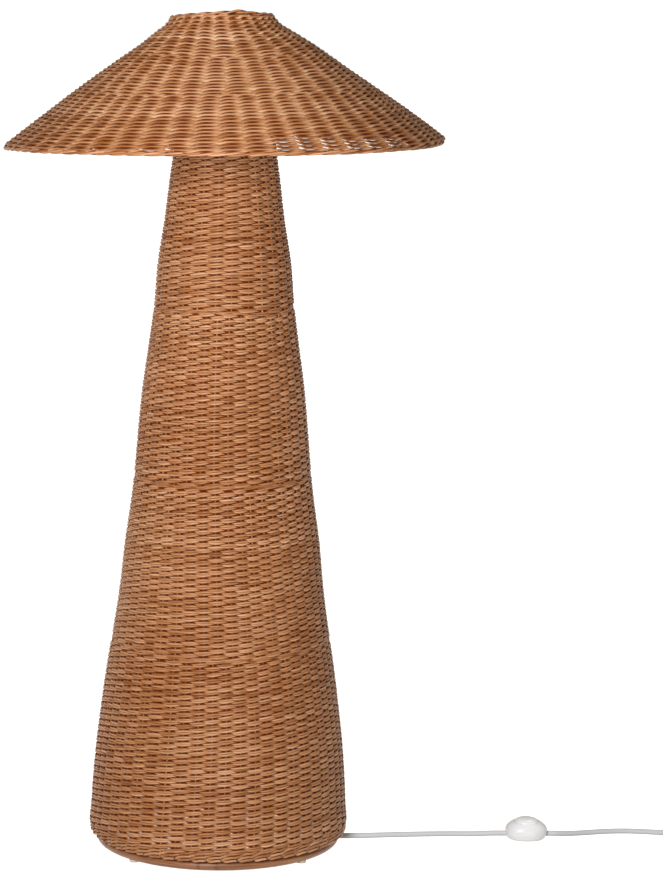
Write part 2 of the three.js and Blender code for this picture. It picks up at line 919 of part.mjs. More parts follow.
// The coil's centre line goes round clockwise from its back, spiralling in and out at one
// rate, and climbs a layer in the half turn where the spiral reverses.
function coilPoints() {
  const turns = coilLayers * coilTurnsPerLayer;
  const steps = turns * coilSteps;
  const straight = new THREE.Vector3(2 * cordRadius, 0, 0);
  const round = Array.from({ length: steps + 1 }, (_, i) => {
    const turn = i / coilSteps;
    const layer = Math.min(Math.floor(turn / coilTurnsPerLayer), coilLayers - 1);
    const within = turn - layer * coilTurnsPerLayer;
    const inward = layer % 2 === 0 ? within : coilTurnsPerLayer - within;
    const sinceClimb = layer > 0 && within < 1 / 4 ? within + 1 / 4 : 0;
    const untilClimb = layer + 1 < coilLayers ? within - coilTurnsPerLayer + 1 / 4 : 0;
    const climbed = sinceClimb > 0 ? sinceClimb * 2 - 1 : Math.max(0, untilClimb) * 2;
    const radius = coilOuterRadius - coilPitch * inward;
    const angle = Math.PI / 2 - 2 * Math.PI * turn;
    return new THREE.Vector3(
      coilX + radius * Math.cos(angle),
      coilY + radius * Math.sin(angle),
      coilBottomHeight + coilPitch * (layer + climbed),
    );
  });
  return [round[0].clone().sub(straight), ...round, round.at(-1).clone().add(straight)];
}

// A tube along points, its rings upright.
function sweep(points, radius, sides) {
  const up = new THREE.Vector3(0, 0, 1);
  const rings = points.map((point, i) => {
    const before = points[Math.max(i - 1, 0)];
    const after = points[Math.min(i + 1, points.length - 1)];
    const ahead = after.clone().sub(before).normalize();
    const side = new THREE.Vector3().crossVectors(ahead, up).normalize();
    const top = new THREE.Vector3().crossVectors(side, ahead);
    return circlePoints(radius, sides).map((p) =>
      point.clone().addScaledVector(side, p.x).addScaledVector(top, p.y),
    );
  });
  return loft(rings.map((points3) => points3.reverse()));
}

// Least clear distance between turns, measured between points more than half a turn apart.
function leastTurnGap(points) {
  let least = Infinity;
  for (let i = 0; i < points.length; i += 1) {
    for (let j = i + coilSteps / 2; j < points.length; j += 1) {
      least = Math.min(least, points[i].distanceTo(points[j]));
    }
  }
  return least - 2 * cordRadius;
}

function leadCoil() {
  const points = coilPoints();
  console.log(`coil: least gap between turns ${leastTurnGap(points).toFixed(2)} mm`);
  return sweep(points, cordRadius, coilSides);
}

function coilTie() {
  const fromReverse = Math.min(coilTieTurnShare, 1 - coilTieTurnShare);
  const halfSpread = coilPitch * (coilTurnsPerLayer / 2 - fromReverse);
  const halfAcross = halfSpread + cordRadius + coilTieGap;
  const halfHigh = coilRise / 2 + cordRadius + coilTieGap;
  const outline = (grow) => {
    const across = halfAcross + grow;
    const high = halfHigh + grow;
    const corner = cordRadius * coilTieCornerShare + grow;
    return [
      new THREE.Vector2(across - corner, -high),
      new THREE.Vector2(across, corner - high),
      new THREE.Vector2(across, high - corner),
      new THREE.Vector2(across - corner, high),
      new THREE.Vector2(corner - across, high),
      new THREE.Vector2(-across, high - corner),
      new THREE.Vector2(-across, corner - high),
      new THREE.Vector2(corner - across, -high),
    ];
  };
  const shape = new THREE.Shape(outline(coilTieThickness));
  shape.holes.push(new THREE.Path(outline(0)));
  const middle = (coilOuterRadius + coilInnerRadius) / 2;
  const band = extrude(shape, coilTieWidth).translate(0, 0, -coilTieWidth / 2);
  band.rotateX(Math.PI / 2).translate(middle, 0, coilBottomHeight + coilRise / 2);
  const turn = Math.PI / 2 - 2 * Math.PI * coilTieTurnShare;
  return band.rotateZ(turn).translate(coilX, coilY, 0);
}

// Foot switch

function switchShell(shares, bottom, top) {
  const rings = shares.map(([upShare, lengthShare, widthShare]) => {
    const halfLength = (switchLength / 2) * lengthShare;
    const halfWidth = (switchWidth / 2) * widthShare;
    return ovalRing(halfLength, halfWidth, bottom + (top - bottom) * upShare);
  });
  return loft(rings);
}

function switchBase() {
  const bore = cordRadius + slideGap;
  const depth = switchLength / 2 - switchCordDepth - seatGap;
  const entry = rod(bore, depth, switchLength / 2 + cutOverrun, smallSides);
  const right = entry.clone().rotateY(Math.PI / 2).translate(0, 0, switchCordHeight);
  const left = entry.clone().rotateY(-Math.PI / 2).translate(0, 0, switchCordHeight);
  return cut(switchShell(switchBaseShares, 0, switchPartingHeight), right, left);
}

function switchCover() {
  const bottom = switchPartingHeight + seatGap;
  const shell = switchShell(switchCoverShares, bottom, switchCoverTop);
  const wellBottom = bottom - cutOverrun;
  const wellTop = switchCoverTop + cutOverrun;
  return cut(shell, rod(switchButtonRadius + slideGap, wellBottom, wellTop, holderSides));
}

function switchButton() {
  const dome = switchButtonTop - switchButtonEdge;
  const outside = buttonShares.map(([radiusShare, heightShare]) => [
    switchButtonRadius * radiusShare,
    switchButtonEdge + dome * heightShare,
  ]);
  const bottom = [[0, buttonBottom], [switchButtonRadius, buttonBottom]];
  return lathe([...bottom, ...outside, [0, switchButtonTop]], holderSides);
}

// Plug, lying flat, built along Z from its cable end

function layPlug(geometry) {
  return geometry.rotateX(Math.PI / 2).translate(endPoint[0], endPoint[1] - seatGap, plugHeight);
}

function plugPin(side) {
  const start = plugReliefLength + plugLength - plugPinDepth;
  const end = start + plugPinDepth + plugPinLength;
  const outline = [
    [0, start],
    [plugPinRadius, start],
    [plugPinRadius, end - plugPinRadius],
    [plugPinRadius / 2, end],
    [0, end],
  ];
  return layPlug(lathe(outline, borderSides).translate((side * plugPinSpacing) / 2, 0, 0));
}

function plugBody() {
  const relief = [
    ovalRing(plugReliefTipRadius, plugReliefTipRadius, 0),
    ovalRing(plugReliefFootRadius, plugReliefFootRadius, plugReliefLength),
  ];
  const body = plugShares.map(([alongShare, widthShare, thicknessShare]) =>
    ovalRing(
      (plugWidth / 2) * widthShare,
      (plugThickness / 2) * thicknessShare,
      plugReliefLength + plugLength * alongShare,
    ),
  );
  const bottom = plugReliefLength + plugLength - plugPinDepth - seatGap;
  const top = plugReliefLength + plugLength + cutOverrun;
  const holes = [-1, 1].map((side) =>
    rod(plugPinRadius + seatGap, bottom, top, borderSides).translate((side * plugPinSpacing) / 2, 0, 0),
  );
  return layPlug(cut(loft([...relief, ...body]), ...holes));
}

// Assembly

function buildBody() {
  const glides = Object.entries(glideAngles).map(([place, angle]) =>
    piece(`glide_${place}`, glide(angle), palePlastic),
  );
  return assembly(
    piece('woven_body', wovenBody(), rattan),
    piece('body_top_border', bodyTopBorder(), rattan),
    piece('body_foot_border', bodyFootBorder(), rattan),
    piece('foot_hoop', footHoop(), rattanPole),
    piece('cord_grommet', cordGrommet(), whitePlastic),
    piece('body_frame', bodyFrame(), steel),
    ...glides,
  );
}

function buildHolder() {
  const bracket = assembly(
    piece('holder_bracket', holderBracket(), steel),
    piece('bracket_screw_left', bracketScrew(-screwReach), zinc),
    piece('bracket_screw_right', bracketScrew(screwReach), zinc),
  );
  bracket.rotation.z = toRadians(bracketAngle);
  const seatBottom = seatRingTop - seatRingHeight;
  return assembly(
    bracket,
    piece('threaded_tube', threadedTube(), zinc),
    piece('tube_washer', tubeWasher(), zinc),
    piece('tube_nut', tubeNut(), zinc),
    piece('holder_cap', holderCap(), blackPlastic),
    piece('holder_shell', holderShell(), blackPlastic),
    piece('holder_core', holderCore(), blackPlastic),
    piece('screw_shell', screwShell(), brass),
    piece('centre_contact', centreContact(), brass),
    piece('seat_ring', gripRing(holderRadius + seatGap, seatBottom, seatRingHeight), blackPlastic),
  );
}

function buildShade() {
  const ringGeometry = gripRing(holderRadius + slideGap, shadeRingBottom, shadeRingHeight);
  return assembly(
    piece('shade_ring', ringGeometry, blackPlastic),
    piece('woven_shade', wovenShade(), rattan),
    piece('shade_rim_border', shadeRimBorder(), rattan),
    piece('shade_top_border', shadeTopBorder(), rattan),
    piece('shade_carrier', shadeCarrier(), steel),
  );
}

function buildBulb() {
  return assembly(
    piece('bulb_tip', rod(bulbTipRadius, bulbBottom, bulbBottom + bulbTipHeight, smallSides), zinc),
    piece('bulb_cap', bulbCap(), zinc),
    piece('bulb_collar', bulbCollar(), whitePlastic),
    piece('bulb_globe', bulbGlobe(), opal),
  );
}

function buildLead() {
  const ties = Object.entries(tieShares).map(([place, share]) =>
    piece(`lead_tie_${place}`, leadTie(bodyHeight(share)), blackPlastic),
  );
  return assembly(
    piece('lead_inside', leadInside(), whiteCord),
    ...ties,
    piece('lead_to_switch', leadToSwitch(), whiteCord),
    piece('lead_to_coil', leadToCoil(), whiteCord),
    piece('lead_coil', leadCoil(), whiteCord),
    piece('coil_tie', coilTie(), blackPlastic),
    piece('lead_to_plug', leadToPlug(), whiteCord),
  );
}

function buildSwitch() {
  const group = assembly(
    piece('switch_base', switchBase(), whitePlastic),
    piece('switch_cover', switchCover(), whitePlastic),
    piece('switch_button', switchButton(), whitePlastic),
  );
  group.position.set(switchX, switchY, 0);
  return group;
}

function buildPlug() {
  return assembly(
    piece('plug_body', plugBody(), whitePlastic),
    piece('plug_pin_left', plugPin(-1), zinc),
    piece('plug_pin_right', plugPin(1), zinc),
  );
}

export default assembly(
  buildBody(),
  buildHolder(),
  buildShade(),
  buildBulb(),
  buildLead(),
  buildSwitch(),
  buildPlug(),
);
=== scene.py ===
# The looks of a woven rattan floor lamp: its strands, its lead and switch, its fittings,
# the floor that it stands on and the photograph's view. Metres, +Z up, front towards -Y.

import json
import math

import bpy
import numpy as np
from mathutils import Matrix, Vector

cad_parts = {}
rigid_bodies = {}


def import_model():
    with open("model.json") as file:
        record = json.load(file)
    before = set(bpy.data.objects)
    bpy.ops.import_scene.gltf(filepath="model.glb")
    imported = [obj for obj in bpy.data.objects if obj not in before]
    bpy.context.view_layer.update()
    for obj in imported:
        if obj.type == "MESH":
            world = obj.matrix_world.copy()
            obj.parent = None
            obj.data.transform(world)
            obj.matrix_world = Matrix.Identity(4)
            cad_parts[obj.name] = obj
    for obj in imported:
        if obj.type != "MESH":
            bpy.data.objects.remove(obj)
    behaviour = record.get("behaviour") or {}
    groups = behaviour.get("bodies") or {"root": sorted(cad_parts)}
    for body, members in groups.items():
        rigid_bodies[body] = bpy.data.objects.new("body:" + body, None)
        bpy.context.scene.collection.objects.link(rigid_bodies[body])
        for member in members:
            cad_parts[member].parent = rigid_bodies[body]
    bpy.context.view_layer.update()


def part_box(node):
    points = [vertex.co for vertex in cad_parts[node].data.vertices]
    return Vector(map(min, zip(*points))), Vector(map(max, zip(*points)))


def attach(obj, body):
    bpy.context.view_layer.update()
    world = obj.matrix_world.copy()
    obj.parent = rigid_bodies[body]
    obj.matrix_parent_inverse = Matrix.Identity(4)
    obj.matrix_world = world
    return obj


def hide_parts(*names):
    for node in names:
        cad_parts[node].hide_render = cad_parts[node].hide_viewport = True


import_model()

# View
camera_place = (0.0, -3.8, 1.0875)
camera_pitch = 8.28  # degrees down
camera_yaw = 2.136  # degrees to the right
camera_roll = 0.91
camera_sensor = 36.0
camera_reach = 2960 / 881  # focal length over the picture's height

# Lead
cord_radius = 0.0035
cord_sides = 16
cord_step = 0.0025
seat_gap = 0.0003
cord_straight = 0.007

# Route of the lead from the foot to the switch
near_route = [
    (0.15765, 0.007, 0.0035),
    (0.170, 0.0073, 0.0035),
    (0.186, 0.0082, 0.0035),
    (0.204, 0.010, 0.0035),
    (0.222, 0.0122, 0.0035),
    (0.242, 0.0144, 0.0035),
    (0.262, 0.0164, 0.0035),
    (0.282, 0.018, 0.00352),
    (0.302, 0.019, 0.00355),
    (0.320, 0.019, 0.00365),
    (0.336, 0.0174, 0.0042),
    (0.350, 0.015, 0.0054),
    (0.362, 0.0129, 0.0065),
    (0.372, 0.012, 0.007),
    (0.382, 0.012, 0.007),
    (0.3905, 0.012, 0.007),
]
# From the switch to the coil
far_route = [
    (0.4285, 0.012, 0.007),
    (0.437, 0.012, 0.007),
    (0.447, 0.0123, 0.0069),
    (0.456, 0.0146, 0.006),
    (0.468, 0.019, 0.005),
    (0.482, 0.024, 0.0042),
    (0.498, 0.0295, 0.00375),
    (0.516, 0.034, 0.0036),
    (0.534, 0.0368, 0.00355),
    (0.552, 0.037, 0.00355),
    (0.570, 0.0347, 0.00355),
    (0.590, 0.031, 0.0036),
    (0.610, 0.028, 0.0038),
    (0.628, 0.0262, 0.0044),
    (0.644, 0.0254, 0.005),
]
# From the coil to the plug
end_route = [
    (0.676, 0.0252, 0.0279),
    (0.6876, 0.0236, 0.0264),
    (0.6985, 0.019, 0.0225),
    (0.7078, 0.0118, 0.0174),
    (0.715, 0.0025, 0.0124),
    (0.7195, -0.0084, 0.0084),
    (0.721, -0.020, 0.0068),
    (0.721, -0.026, 0.0068),
    (0.721, -0.032, 0.0068),
]
# Inside the lamp: from where the lead leaves the foot, and from the middle of the top ring
foot_route = [
    (0.0, 0.007, 0.0035),
    (-0.0085, 0.007, 0.0035),
    (-0.0165, 0.007, 0.0035),
    (-0.0243, 0.007, 0.0045),
    (-0.0315, 0.007, 0.0075),
    (-0.0377, 0.007, 0.0123),
    (-0.0425, 0.0068, 0.0185),
    (-0.0455, 0.0065, 0.0257),
    (-0.0465, 0.0062, 0.0335),
    (-0.0457, 0.0058, 0.041),
    (-0.043, 0.005, 0.054),
    (-0.038, 0.004, 0.078),
    (-0.0325, 0.0026, 0.104),
    (-0.027, 0.001, 0.128),
]
head_route = [
    (0.050, 0.0, -0.115),
    (0.039, 0.0, -0.093),
    (0.0255, 0.0, -0.074),
    (0.0125, 0.0, -0.057),
    (0.0036, 0.0, -0.040),
    (0.0004, 0.0, -0.025),
    (0.0, 0.0, -0.012),
]

# Coil
coil_x = 0.662
coil_y = -0.022
coil_layers = 4
coil_turns_per_layer = 2
coil_pitch = 0.0076
coil_outer_radius = 0.0472
coil_bottom = 0.0052
coil_steps = 60

# Outside of the body: shares of its height and of the way from its top radius to its foot's
body_outline_shares = [
    (0.000, 1.000),
    (0.026, 0.979),
    (0.056, 0.965),
    (0.116, 0.930),
    (0.176, 0.865),
    (0.236, 0.793),
    (0.294, 0.722),
    (0.354, 0.650),
    (0.413, 0.592),
    (0.472, 0.528),
    (0.530, 0.476),
    (0.589, 0.425),
    (0.647, 0.379),
    (0.704, 0.316),
    (0.762, 0.247),
    (0.819, 0.209),
    (0.877, 0.140),
    (0.933, 0.077),
    (0.962, 0.040),
    (1.000, 0.000),
]

# Body weave
foot_drop = 0.0015  # the weave and the pole at the foot sit this much low
foot_flare = 0.0020
body_foot_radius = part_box("woven_body")[1].x + foot_flare
body_foot_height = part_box("woven_body")[0].z - foot_drop
body_top_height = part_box("woven_body")[1].z
body_top_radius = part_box("body_top_border")[1].x - seat_gap
body_height = body_top_height - body_foot_height
band_height = 0.706  # above it the stakes are few and the beads long
# From a height upwards, the number of stakes and the steps from one to the next
stake_zones = [(0.0, 52, 6), (0.272, 46, 7), (0.488, 38, 8), (band_height, 26, 9)]
_, foot_stakes, foot_steps = stake_zones[0]
row_pitches = [(0.420, 0.00375), (0.450, 0.0040), (0.705, 0.0040), (0.706, 0.0039)]
weaver_half_depth = 0.00125
weaver_half_height = 0.0013  # between the stakes
pair_offset = 0.00105  # from a row's middle to each weaver of its pair, between the stakes
# Height, and what a weaver's half height and a pair's offset gain there over a stake
bead_shapes = [(0.30, 0.00031, 0.00045), (0.50, 0.00038, 0.00054), (0.75, 0.00041, 0.00054)]
weave_slant = 0.0006  # how far a bead's right end is above its middle
weave_depth = 0.0018  # how far a weaver swings to either side of the stakes
body_wall = 2 * (weave_depth + weaver_half_depth)
body_bow = 0.0012  # how far the middle of the body stands to the right
stake_radius = 0.0012
strand_sides = 8
rows_per_piece = 16

# Shade weave
shade_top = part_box("woven_shade")[1].z
shade_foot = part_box("woven_shade")[0].z
shade_foot_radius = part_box("woven_shade")[1].x
collar_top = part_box("shade_top_border")[1].z
seat_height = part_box("shade_ring")[0].z
shade_shoulder_radius = 0.0710
shade_mouth_radius = 0.0640
shade_row_pitch = 0.0065
shade_half_depth = 0.0014
shade_half_height = 0.00145
shade_swell = 0.0009  # added where the two weavers of a row cross
shade_back_swell = 0.0010  # and where a weaver passes behind a spoke
shade_ridge = 0.0007  # how far the crossings stand proud
shade_spoke_radius = 0.0013
shade_weave_depth = 0.0018
shade_weave_slant = 0.0013
shade_wall = 2 * (shade_weave_depth + shade_half_depth)
shade_bulge = 0.0022  # how far the middle of the cone stands proud of a straight line
shade_bow = 0.0014
shade_rows_per_piece = 10
steps_to_spoke = 9
spoke_zones = [(0.0, 28), (0.125, 38), (0.192, 52)]  # from a radius outwards, spokes
shade_tilt = 0.021  # radians, right side up
shade_shift = 0.0008  # to the right
tilt_start = 0.030
tilt_end = 0.060


# Numbers and boxes

def half_across(node):
    low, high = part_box(node)
    return (high.x - low.x) / 2


def middle_of(node):
    low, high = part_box(node)
    return [(least + most) / 2 for least, most in zip(low, high)]


def eased(t):
    """From nothing to one, level at both ends."""
    return t * t * (3 - 2 * t)


def ribbed(share, count):
    """Nothing at each of so many ribs, one halfway between two."""
    return 0.5 - 0.5 * np.cos(2 * math.pi * count * share)


def angles_round(count):
    return np.arange(count) / count * 2 * math.pi


def round_line(angle, radius, height, middle=(0, 0)):
    """Points at angles round a middle, with their radii and heights."""
    x = middle[0] + radius * np.cos(angle)
    y = middle[1] + radius * np.sin(angle)
    return np.stack([x, y, np.broadcast_to(height, x.shape)], axis=-1)


def smooth_through(places, pairs):
    """Values at places on a smooth line through pairs of place and value."""
    xs = np.array([pair[0] for pair in pairs])
    ys = np.array([pair[1] for pair in pairs])
    slopes = np.gradient(ys, xs)
    at = np.clip(np.searchsorted(xs, places) - 1, 0, len(xs) - 2)
    width = xs[at + 1] - xs[at]
    t = np.clip((places - xs[at]) / width, 0, 1)
    start = (1 + 2 * t) * (1 - t) ** 2 * ys[at] + t * (1 - t) ** 2 * width * slopes[at]
    end = eased(t) * ys[at + 1] + t * t * (t - 1) * width * slopes[at + 1]
    return start + end


def both_through(places, rows):
    """Two smooth lines, through rows of a place and its two values."""
    return [smooth_through(places, [(row[0], row[side]) for row in rows]) for side in (1, 2)]


def wander(rng, count, samples):
    """Uneven values round a ring, with as many turning points as count."""
    knots = rng.normal(0, 1, count)
    places = np.arange(samples) / samples * count
    return np.interp(places, np.arange(count + 1), np.append(knots, knots[0]))


def smooth_line(points, step):
    """Points about a step apart on a centripetal Catmull-Rom line through the given ones."""
    held = np.array(points, dtype=float)
    ends = [2 * held[0] - held[1], 2 * held[-1] - held[-2]]
    full = np.vstack([ends[0], held, ends[1]])
    line = []
    for p0, p1, p2, p3 in zip(full, full[1:], full[2:], full[3:]):
        gaps = [max(np.linalg.norm(b - a), step / 100) ** 0.5 for a, b in ((p0, p1), (p1, p2), (p2, p3))]
        enter = (p1 - p0) / gaps[0] - (p2 - p0) / (gaps[0] + gaps[1]) + (p2 - p1) / gaps[1]
        leave = (p2 - p1) / gaps[1] - (p3 - p1) / (gaps[1] + gaps[2]) + (p3 - p2) / gaps[2]
        enter = enter * gaps[1]
        leave = leave * gaps[1]
        count = max(1, round(np.linalg.norm(p2 - p1) / step))
        for t in np.arange(count) / count:
            bend = 2 * p1 - 2 * p2 + enter + leave
            turn = 3 * p2 - 3 * p1 - 2 * enter - leave
            line.append(bend * t ** 3 + turn * t ** 2 + enter * t + p1)
    line.append(held[-1])
    return np.array(line)


def line_length(line):
    return float(np.linalg.norm(np.diff(line, axis=0), axis=1).sum())


class Ripple:
    """A smooth uneven field round the axis, from about -1 to 1, the same every time."""

    def __init__(self, seed, count, most_round, wavelength):
        rng = np.random.default_rng(seed)
        self.rounds = rng.integers(0, most_round + 1, count)
        self.rises = rng.uniform(-1, 1, count) * 2 * math.pi / wavelength
        self.shifts = rng.uniform(0, 2 * math.pi, count)
        self.share = (2 / count) ** 0.5

    def at(self, angle, height):
        total = 0
        for turns, rise, shift in zip(self.rounds, self.rises, self.shifts):
            total = total + np.sin(turns * angle + rise * height + shift)
        return total * self.share


class Lengths:
    """Values that stay the same along one strand and change where the next is spliced in."""

    def __init__(self, seed, rounds, shortest, longest, spread):
        rng = np.random.default_rng(seed)
        self.breaks = np.cumsum(rng.uniform(shortest, longest, int(rounds / shortest) + 2))
        self.values = rng.normal(0, spread, len(self.breaks) + 1)

    def at(self, rounds):
        return self.values[np.searchsorted(self.breaks, rounds)]


# Meshes

def unit(vectors):
    return vectors / np.linalg.norm(vectors, axis=-1, keepdims=True)


def link(mesh, name, material):
    piece = bpy.data.objects.new(name, mesh)
    bpy.context.scene.collection.objects.link(piece)
    mesh.materials.append(material)
    return piece


class Strands:
    """Strands swept along lines and gathered into one mesh."""

    def __init__(self, sides=strand_sides):
        self.sides = sides
        self.points = []
        self.fibres = []
        self.tones = []
        self.painted_shades = []
        self.quads = []
        self.caps = []
        self.maps = []
        self.count = 0

    def add(self, line, outward, depth, width, tone=0.0, closed=False, sunk=0.0, edge=0.0):
        """depth and width are half thicknesses, along outward and across it. sunk is the share
        of the way through the woven wall, from its outside, at which the line lies; it sets the
        painted shade on faces that look into the wall. edge is how much painted shade darkens
        the side towards across, or the far side where it's negative."""
        steps = len(line)
        if closed:
            ahead = unit(np.roll(line, -1, axis=0) - np.roll(line, 1, axis=0))
        else:
            ahead = unit(np.gradient(line, axis=0))
        across = unit(np.cross(ahead, np.broadcast_to(outward, line.shape)))
        out = np.cross(across, ahead)
        turn = angles_round(self.sides)
        depth = np.broadcast_to(depth, steps)[:, None, None]
        width = np.broadcast_to(width, steps)[:, None, None]
        reach = depth * np.cos(turn)[None, :, None] * out[:, None]
        reach = reach + width * np.sin(turn)[None, :, None] * across[:, None]
        self.points.append((line[:, None] + reach).reshape(-1, 3))
        # Painted shade: faces that look into the woven wall, and the sides that edge names, are marked to be
        # painted dark
        facing = np.cos(turn)[None, :]
        through = np.broadcast_to(sunk, steps)[:, None] - half_wall_share * facing
        behind = ((1 + facing) * through + (1 - facing) * (1 - through)) / 2
        painted_shade = (behind - unshaded_share) / (full_shade_share - unshaded_share)
        shaded = np.broadcast_to(edge, steps)[:, None] * np.sin(turn)[None, :] ** 3
        painted_shade = np.maximum(painted_shade, 0) + np.maximum(shaded, 0)
        self.painted_shades.append(np.clip(painted_shade, 0, 1).ravel())
        self._lay_fibres(line, turn, float(np.mean(width)), steps)
        self.tones.append(np.repeat(np.broadcast_to(tone, steps), self.sides))
        self._lay_faces(steps, closed)
        self.count += steps * self.sides

    def _lay_fibres(self, line, turn, radius, steps):
        gaps = np.linalg.norm(np.diff(line, axis=0), axis=1)
        along = np.concatenate([[0], np.cumsum(gaps)]) + len(self.points) * fibre_apart
        fibre = np.empty((steps, self.sides, 3))
        fibre[..., 0] = along[:, None]
        fibre[..., 1] = radius * np.cos(turn)
        fibre[..., 2] = radius * np.sin(turn)
        self.fibres.append(fibre.reshape(-1, 3))

    def _lay_faces(self, steps, closed):
        spans = steps if closed else steps - 1
        here = np.arange(spans)[:, None]
        side = np.arange(self.sides)[None, :]
        ahead = (here + 1) % steps
        beside = (side + 1) % self.sides
        corners = [here * self.sides + side, here * self.sides + beside,
                   ahead * self.sides + beside, ahead * self.sides + side]
        self.quads.append(np.stack(corners, axis=-1).reshape(-1, 4) + self.count)
        u0 = np.broadcast_to(here / spans, (spans, self.sides))
        u1 = np.broadcast_to((here + 1) / spans, (spans, self.sides))
        v0 = np.broadcast_to(side / self.sides, (spans, self.sides))
        v1 = np.broadcast_to((side + 1) / self.sides, (spans, self.sides))
        corners = [(u0, v0), (u0, v1), (u1, v1), (u1, v0)]
        self.maps.append(np.stack([np.stack(c, axis=-1) for c in corners], axis=2).reshape(-1, 2))
        if not closed:
            ring = np.arange(self.sides) + self.count
            self.caps.append(ring[::-1])
            self.caps.append(ring + (steps - 1) * self.sides)

    def build(self, name, material):
        mesh = bpy.data.meshes.new(name)
        points = np.concatenate(self.points)
        quads = np.concatenate(self.quads)
        caps = np.array(self.caps, dtype=int).reshape(-1, self.sides)
        corners = np.concatenate([quads.ravel(), caps.ravel()])
        starts = np.arange(len(quads)) * 4
        cap_starts = np.arange(len(caps)) * self.sides + quads.size
        mesh.vertices.add(len(points))
        mesh.vertices.foreach_set("co", points.ravel())
        mesh.loops.add(len(corners))
        mesh.loops.foreach_set("vertex_index", corners)
        mesh.polygons.add(len(quads) + len(caps))
        mesh.polygons.foreach_set("loop_start", np.concatenate([starts, cap_starts]))
        mesh.polygons.foreach_set("use_smooth", np.ones(len(quads) + len(caps), dtype=bool))
        self._lay_map(mesh, len(caps))
        fibre = mesh.attributes.new("fibre", "FLOAT_VECTOR", "POINT")
        fibre.data.foreach_set("vector", np.concatenate(self.fibres).ravel())
        tone = mesh.attributes.new("tone", "FLOAT", "POINT")
        tone.data.foreach_set("value", np.concatenate(self.tones))
        depth = mesh.attributes.new("painted_shade", "FLOAT", "POINT")
        depth.data.foreach_set("value", np.concatenate(self.painted_shades))
        mesh.update(calc_edges=True)
        return link(mesh, name, material)

    def _lay_map(self, mesh, caps):
        strips = len(self.maps) + 1
        laid = []
        for index, uv in enumerate(self.maps):
            laid.append(np.stack([uv[:, 0], (index + uv[:, 1] * map_fill) / strips], axis=-1))
        turn = angles_round(self.sides)
        disc = np.stack([np.cos(turn), np.sin(turn)], axis=-1) * map_fill / strips / 4
        for index in range(caps):
            centre = [(index + 1) / (caps + 1), (strips - 0.5) / strips]
            laid.append(disc + centre)
        layer = mesh.uv_layers.new(name="OFBake")
        layer.uv.foreach_set("vector", np.concatenate(laid).ravel())


fibre_apart = 1.7  # from where one strand's fibres start to the next one's
sunk_share = 0.34  # how far either side of a wall's middle a border's strands swing, which sets their painted shade
map_fill = 0.9  # how much of its strip of the map a strand takes
half_wall_share = 0.16  # half a strand's thickness, as a share of the woven wall's
unshaded_share = 0.42  # a face that looks out through less of the wall than this gets no painted shade
full_shade_share = 0.55  # and through more than this gets the full painted shade


def shaped(name, rings, material, closed_round=True):
    """A smooth skin over rings of points, each with the same count."""
    count = len(rings[0])
    points = np.concatenate([np.array(ring, dtype=float) for ring in rings])
    faces = []
    for ring in range(len(rings) - 1):
        for i in range(count):
            here = ring * count
            after = (i + 1) % count
            faces.append((here + i, here + after, here + count + after, here + count + i))
    if not closed_round:
        for i in range(count):
            last = (len(rings) - 1) * count
            after = (i + 1) % count
            faces.append((last + i, last + after, after, i))
    else:
        faces.append(tuple(range(count))[::-1])
        faces.append(tuple(range((len(rings) - 1) * count, len(rings) * count)))
    mesh = bpy.data.meshes.new(name)
    mesh.from_pydata(points.tolist(), [], faces)
    mesh.update()
    mesh.shade_smooth()
    mesh.set_sharp_from_angle(angle=sharp_angle)
    return link(mesh, name, material)


def softened(outline, radius, steps=4):
    """An outline of radius and height with each inner corner rounded."""
    held = np.array(outline, dtype=float)
    line = [held[0]]
    for before, corner, after in zip(held, held[1:], held[2:]):
        back = before - corner
        on = after - corner
        reach = min(radius, np.linalg.norm(back) / 2, np.linalg.norm(on) / 2)
        start = corner + unit(back) * reach
        end = corner + unit(on) * reach
        for t in np.arange(steps + 1) / steps:
            line.append((1 - t) ** 2 * start + 2 * t * (1 - t) * corner + t * t * end)
    line.append(held[-1])
    return np.array(line)


def turned(name, outline, material, sides=64, grips=0, grip_depth=0.0):
    """A turned piece: the outline's radii and heights go round the axis from end to end."""
    turn = angles_round(sides)
    rings = []
    for radius, height in outline:
        ripple = grip_depth * (0.5 + 0.5 * np.cos(turn * grips)) if grips else 0
        reach = np.maximum(radius - ripple * (radius > grip_start), axis_radius)
        rings.append(round_line(turn, reach, height))
    if np.allclose(outline[0], outline[-1]):
        return shaped(name, rings[:-1], material, closed_round=False)
    return shaped(name, rings, material)


sharp_angle = math.radians(34)
axis_radius = 0.00002  # a turned piece's point on its axis
grip_start = 0.0225  # grips are cut only outside this radius


def moved(piece, place=(0, 0, 0), turn=None):
    matrix = Matrix.Translation(place)
    if turn is not None:
        matrix = matrix @ turn
    piece.data.transform(matrix)
    piece.data.update()
    return piece


def settle(piece, body, slot, *nodes):
    """The piece rides on a body and stands for its nodes, which are hidden."""
    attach(piece, body)
    if nodes:
        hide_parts(*nodes)
    return piece


# Finishes

fibre_depth = 0.0003
grain_depth = 0.0001
braid_depth = 0.0005
braid_pitch = 0.0031
braid_strands = 9
opal_reach = (0.010, 0.010, 0.008)


def linear(color):
    """A colour's three shares of 255, as light."""
    shares = [c / 255 for c in color]
    return tuple(s / 12.92 if s <= 0.04045 else ((s + 0.055) / 1.055) ** 2.4 for s in shares)


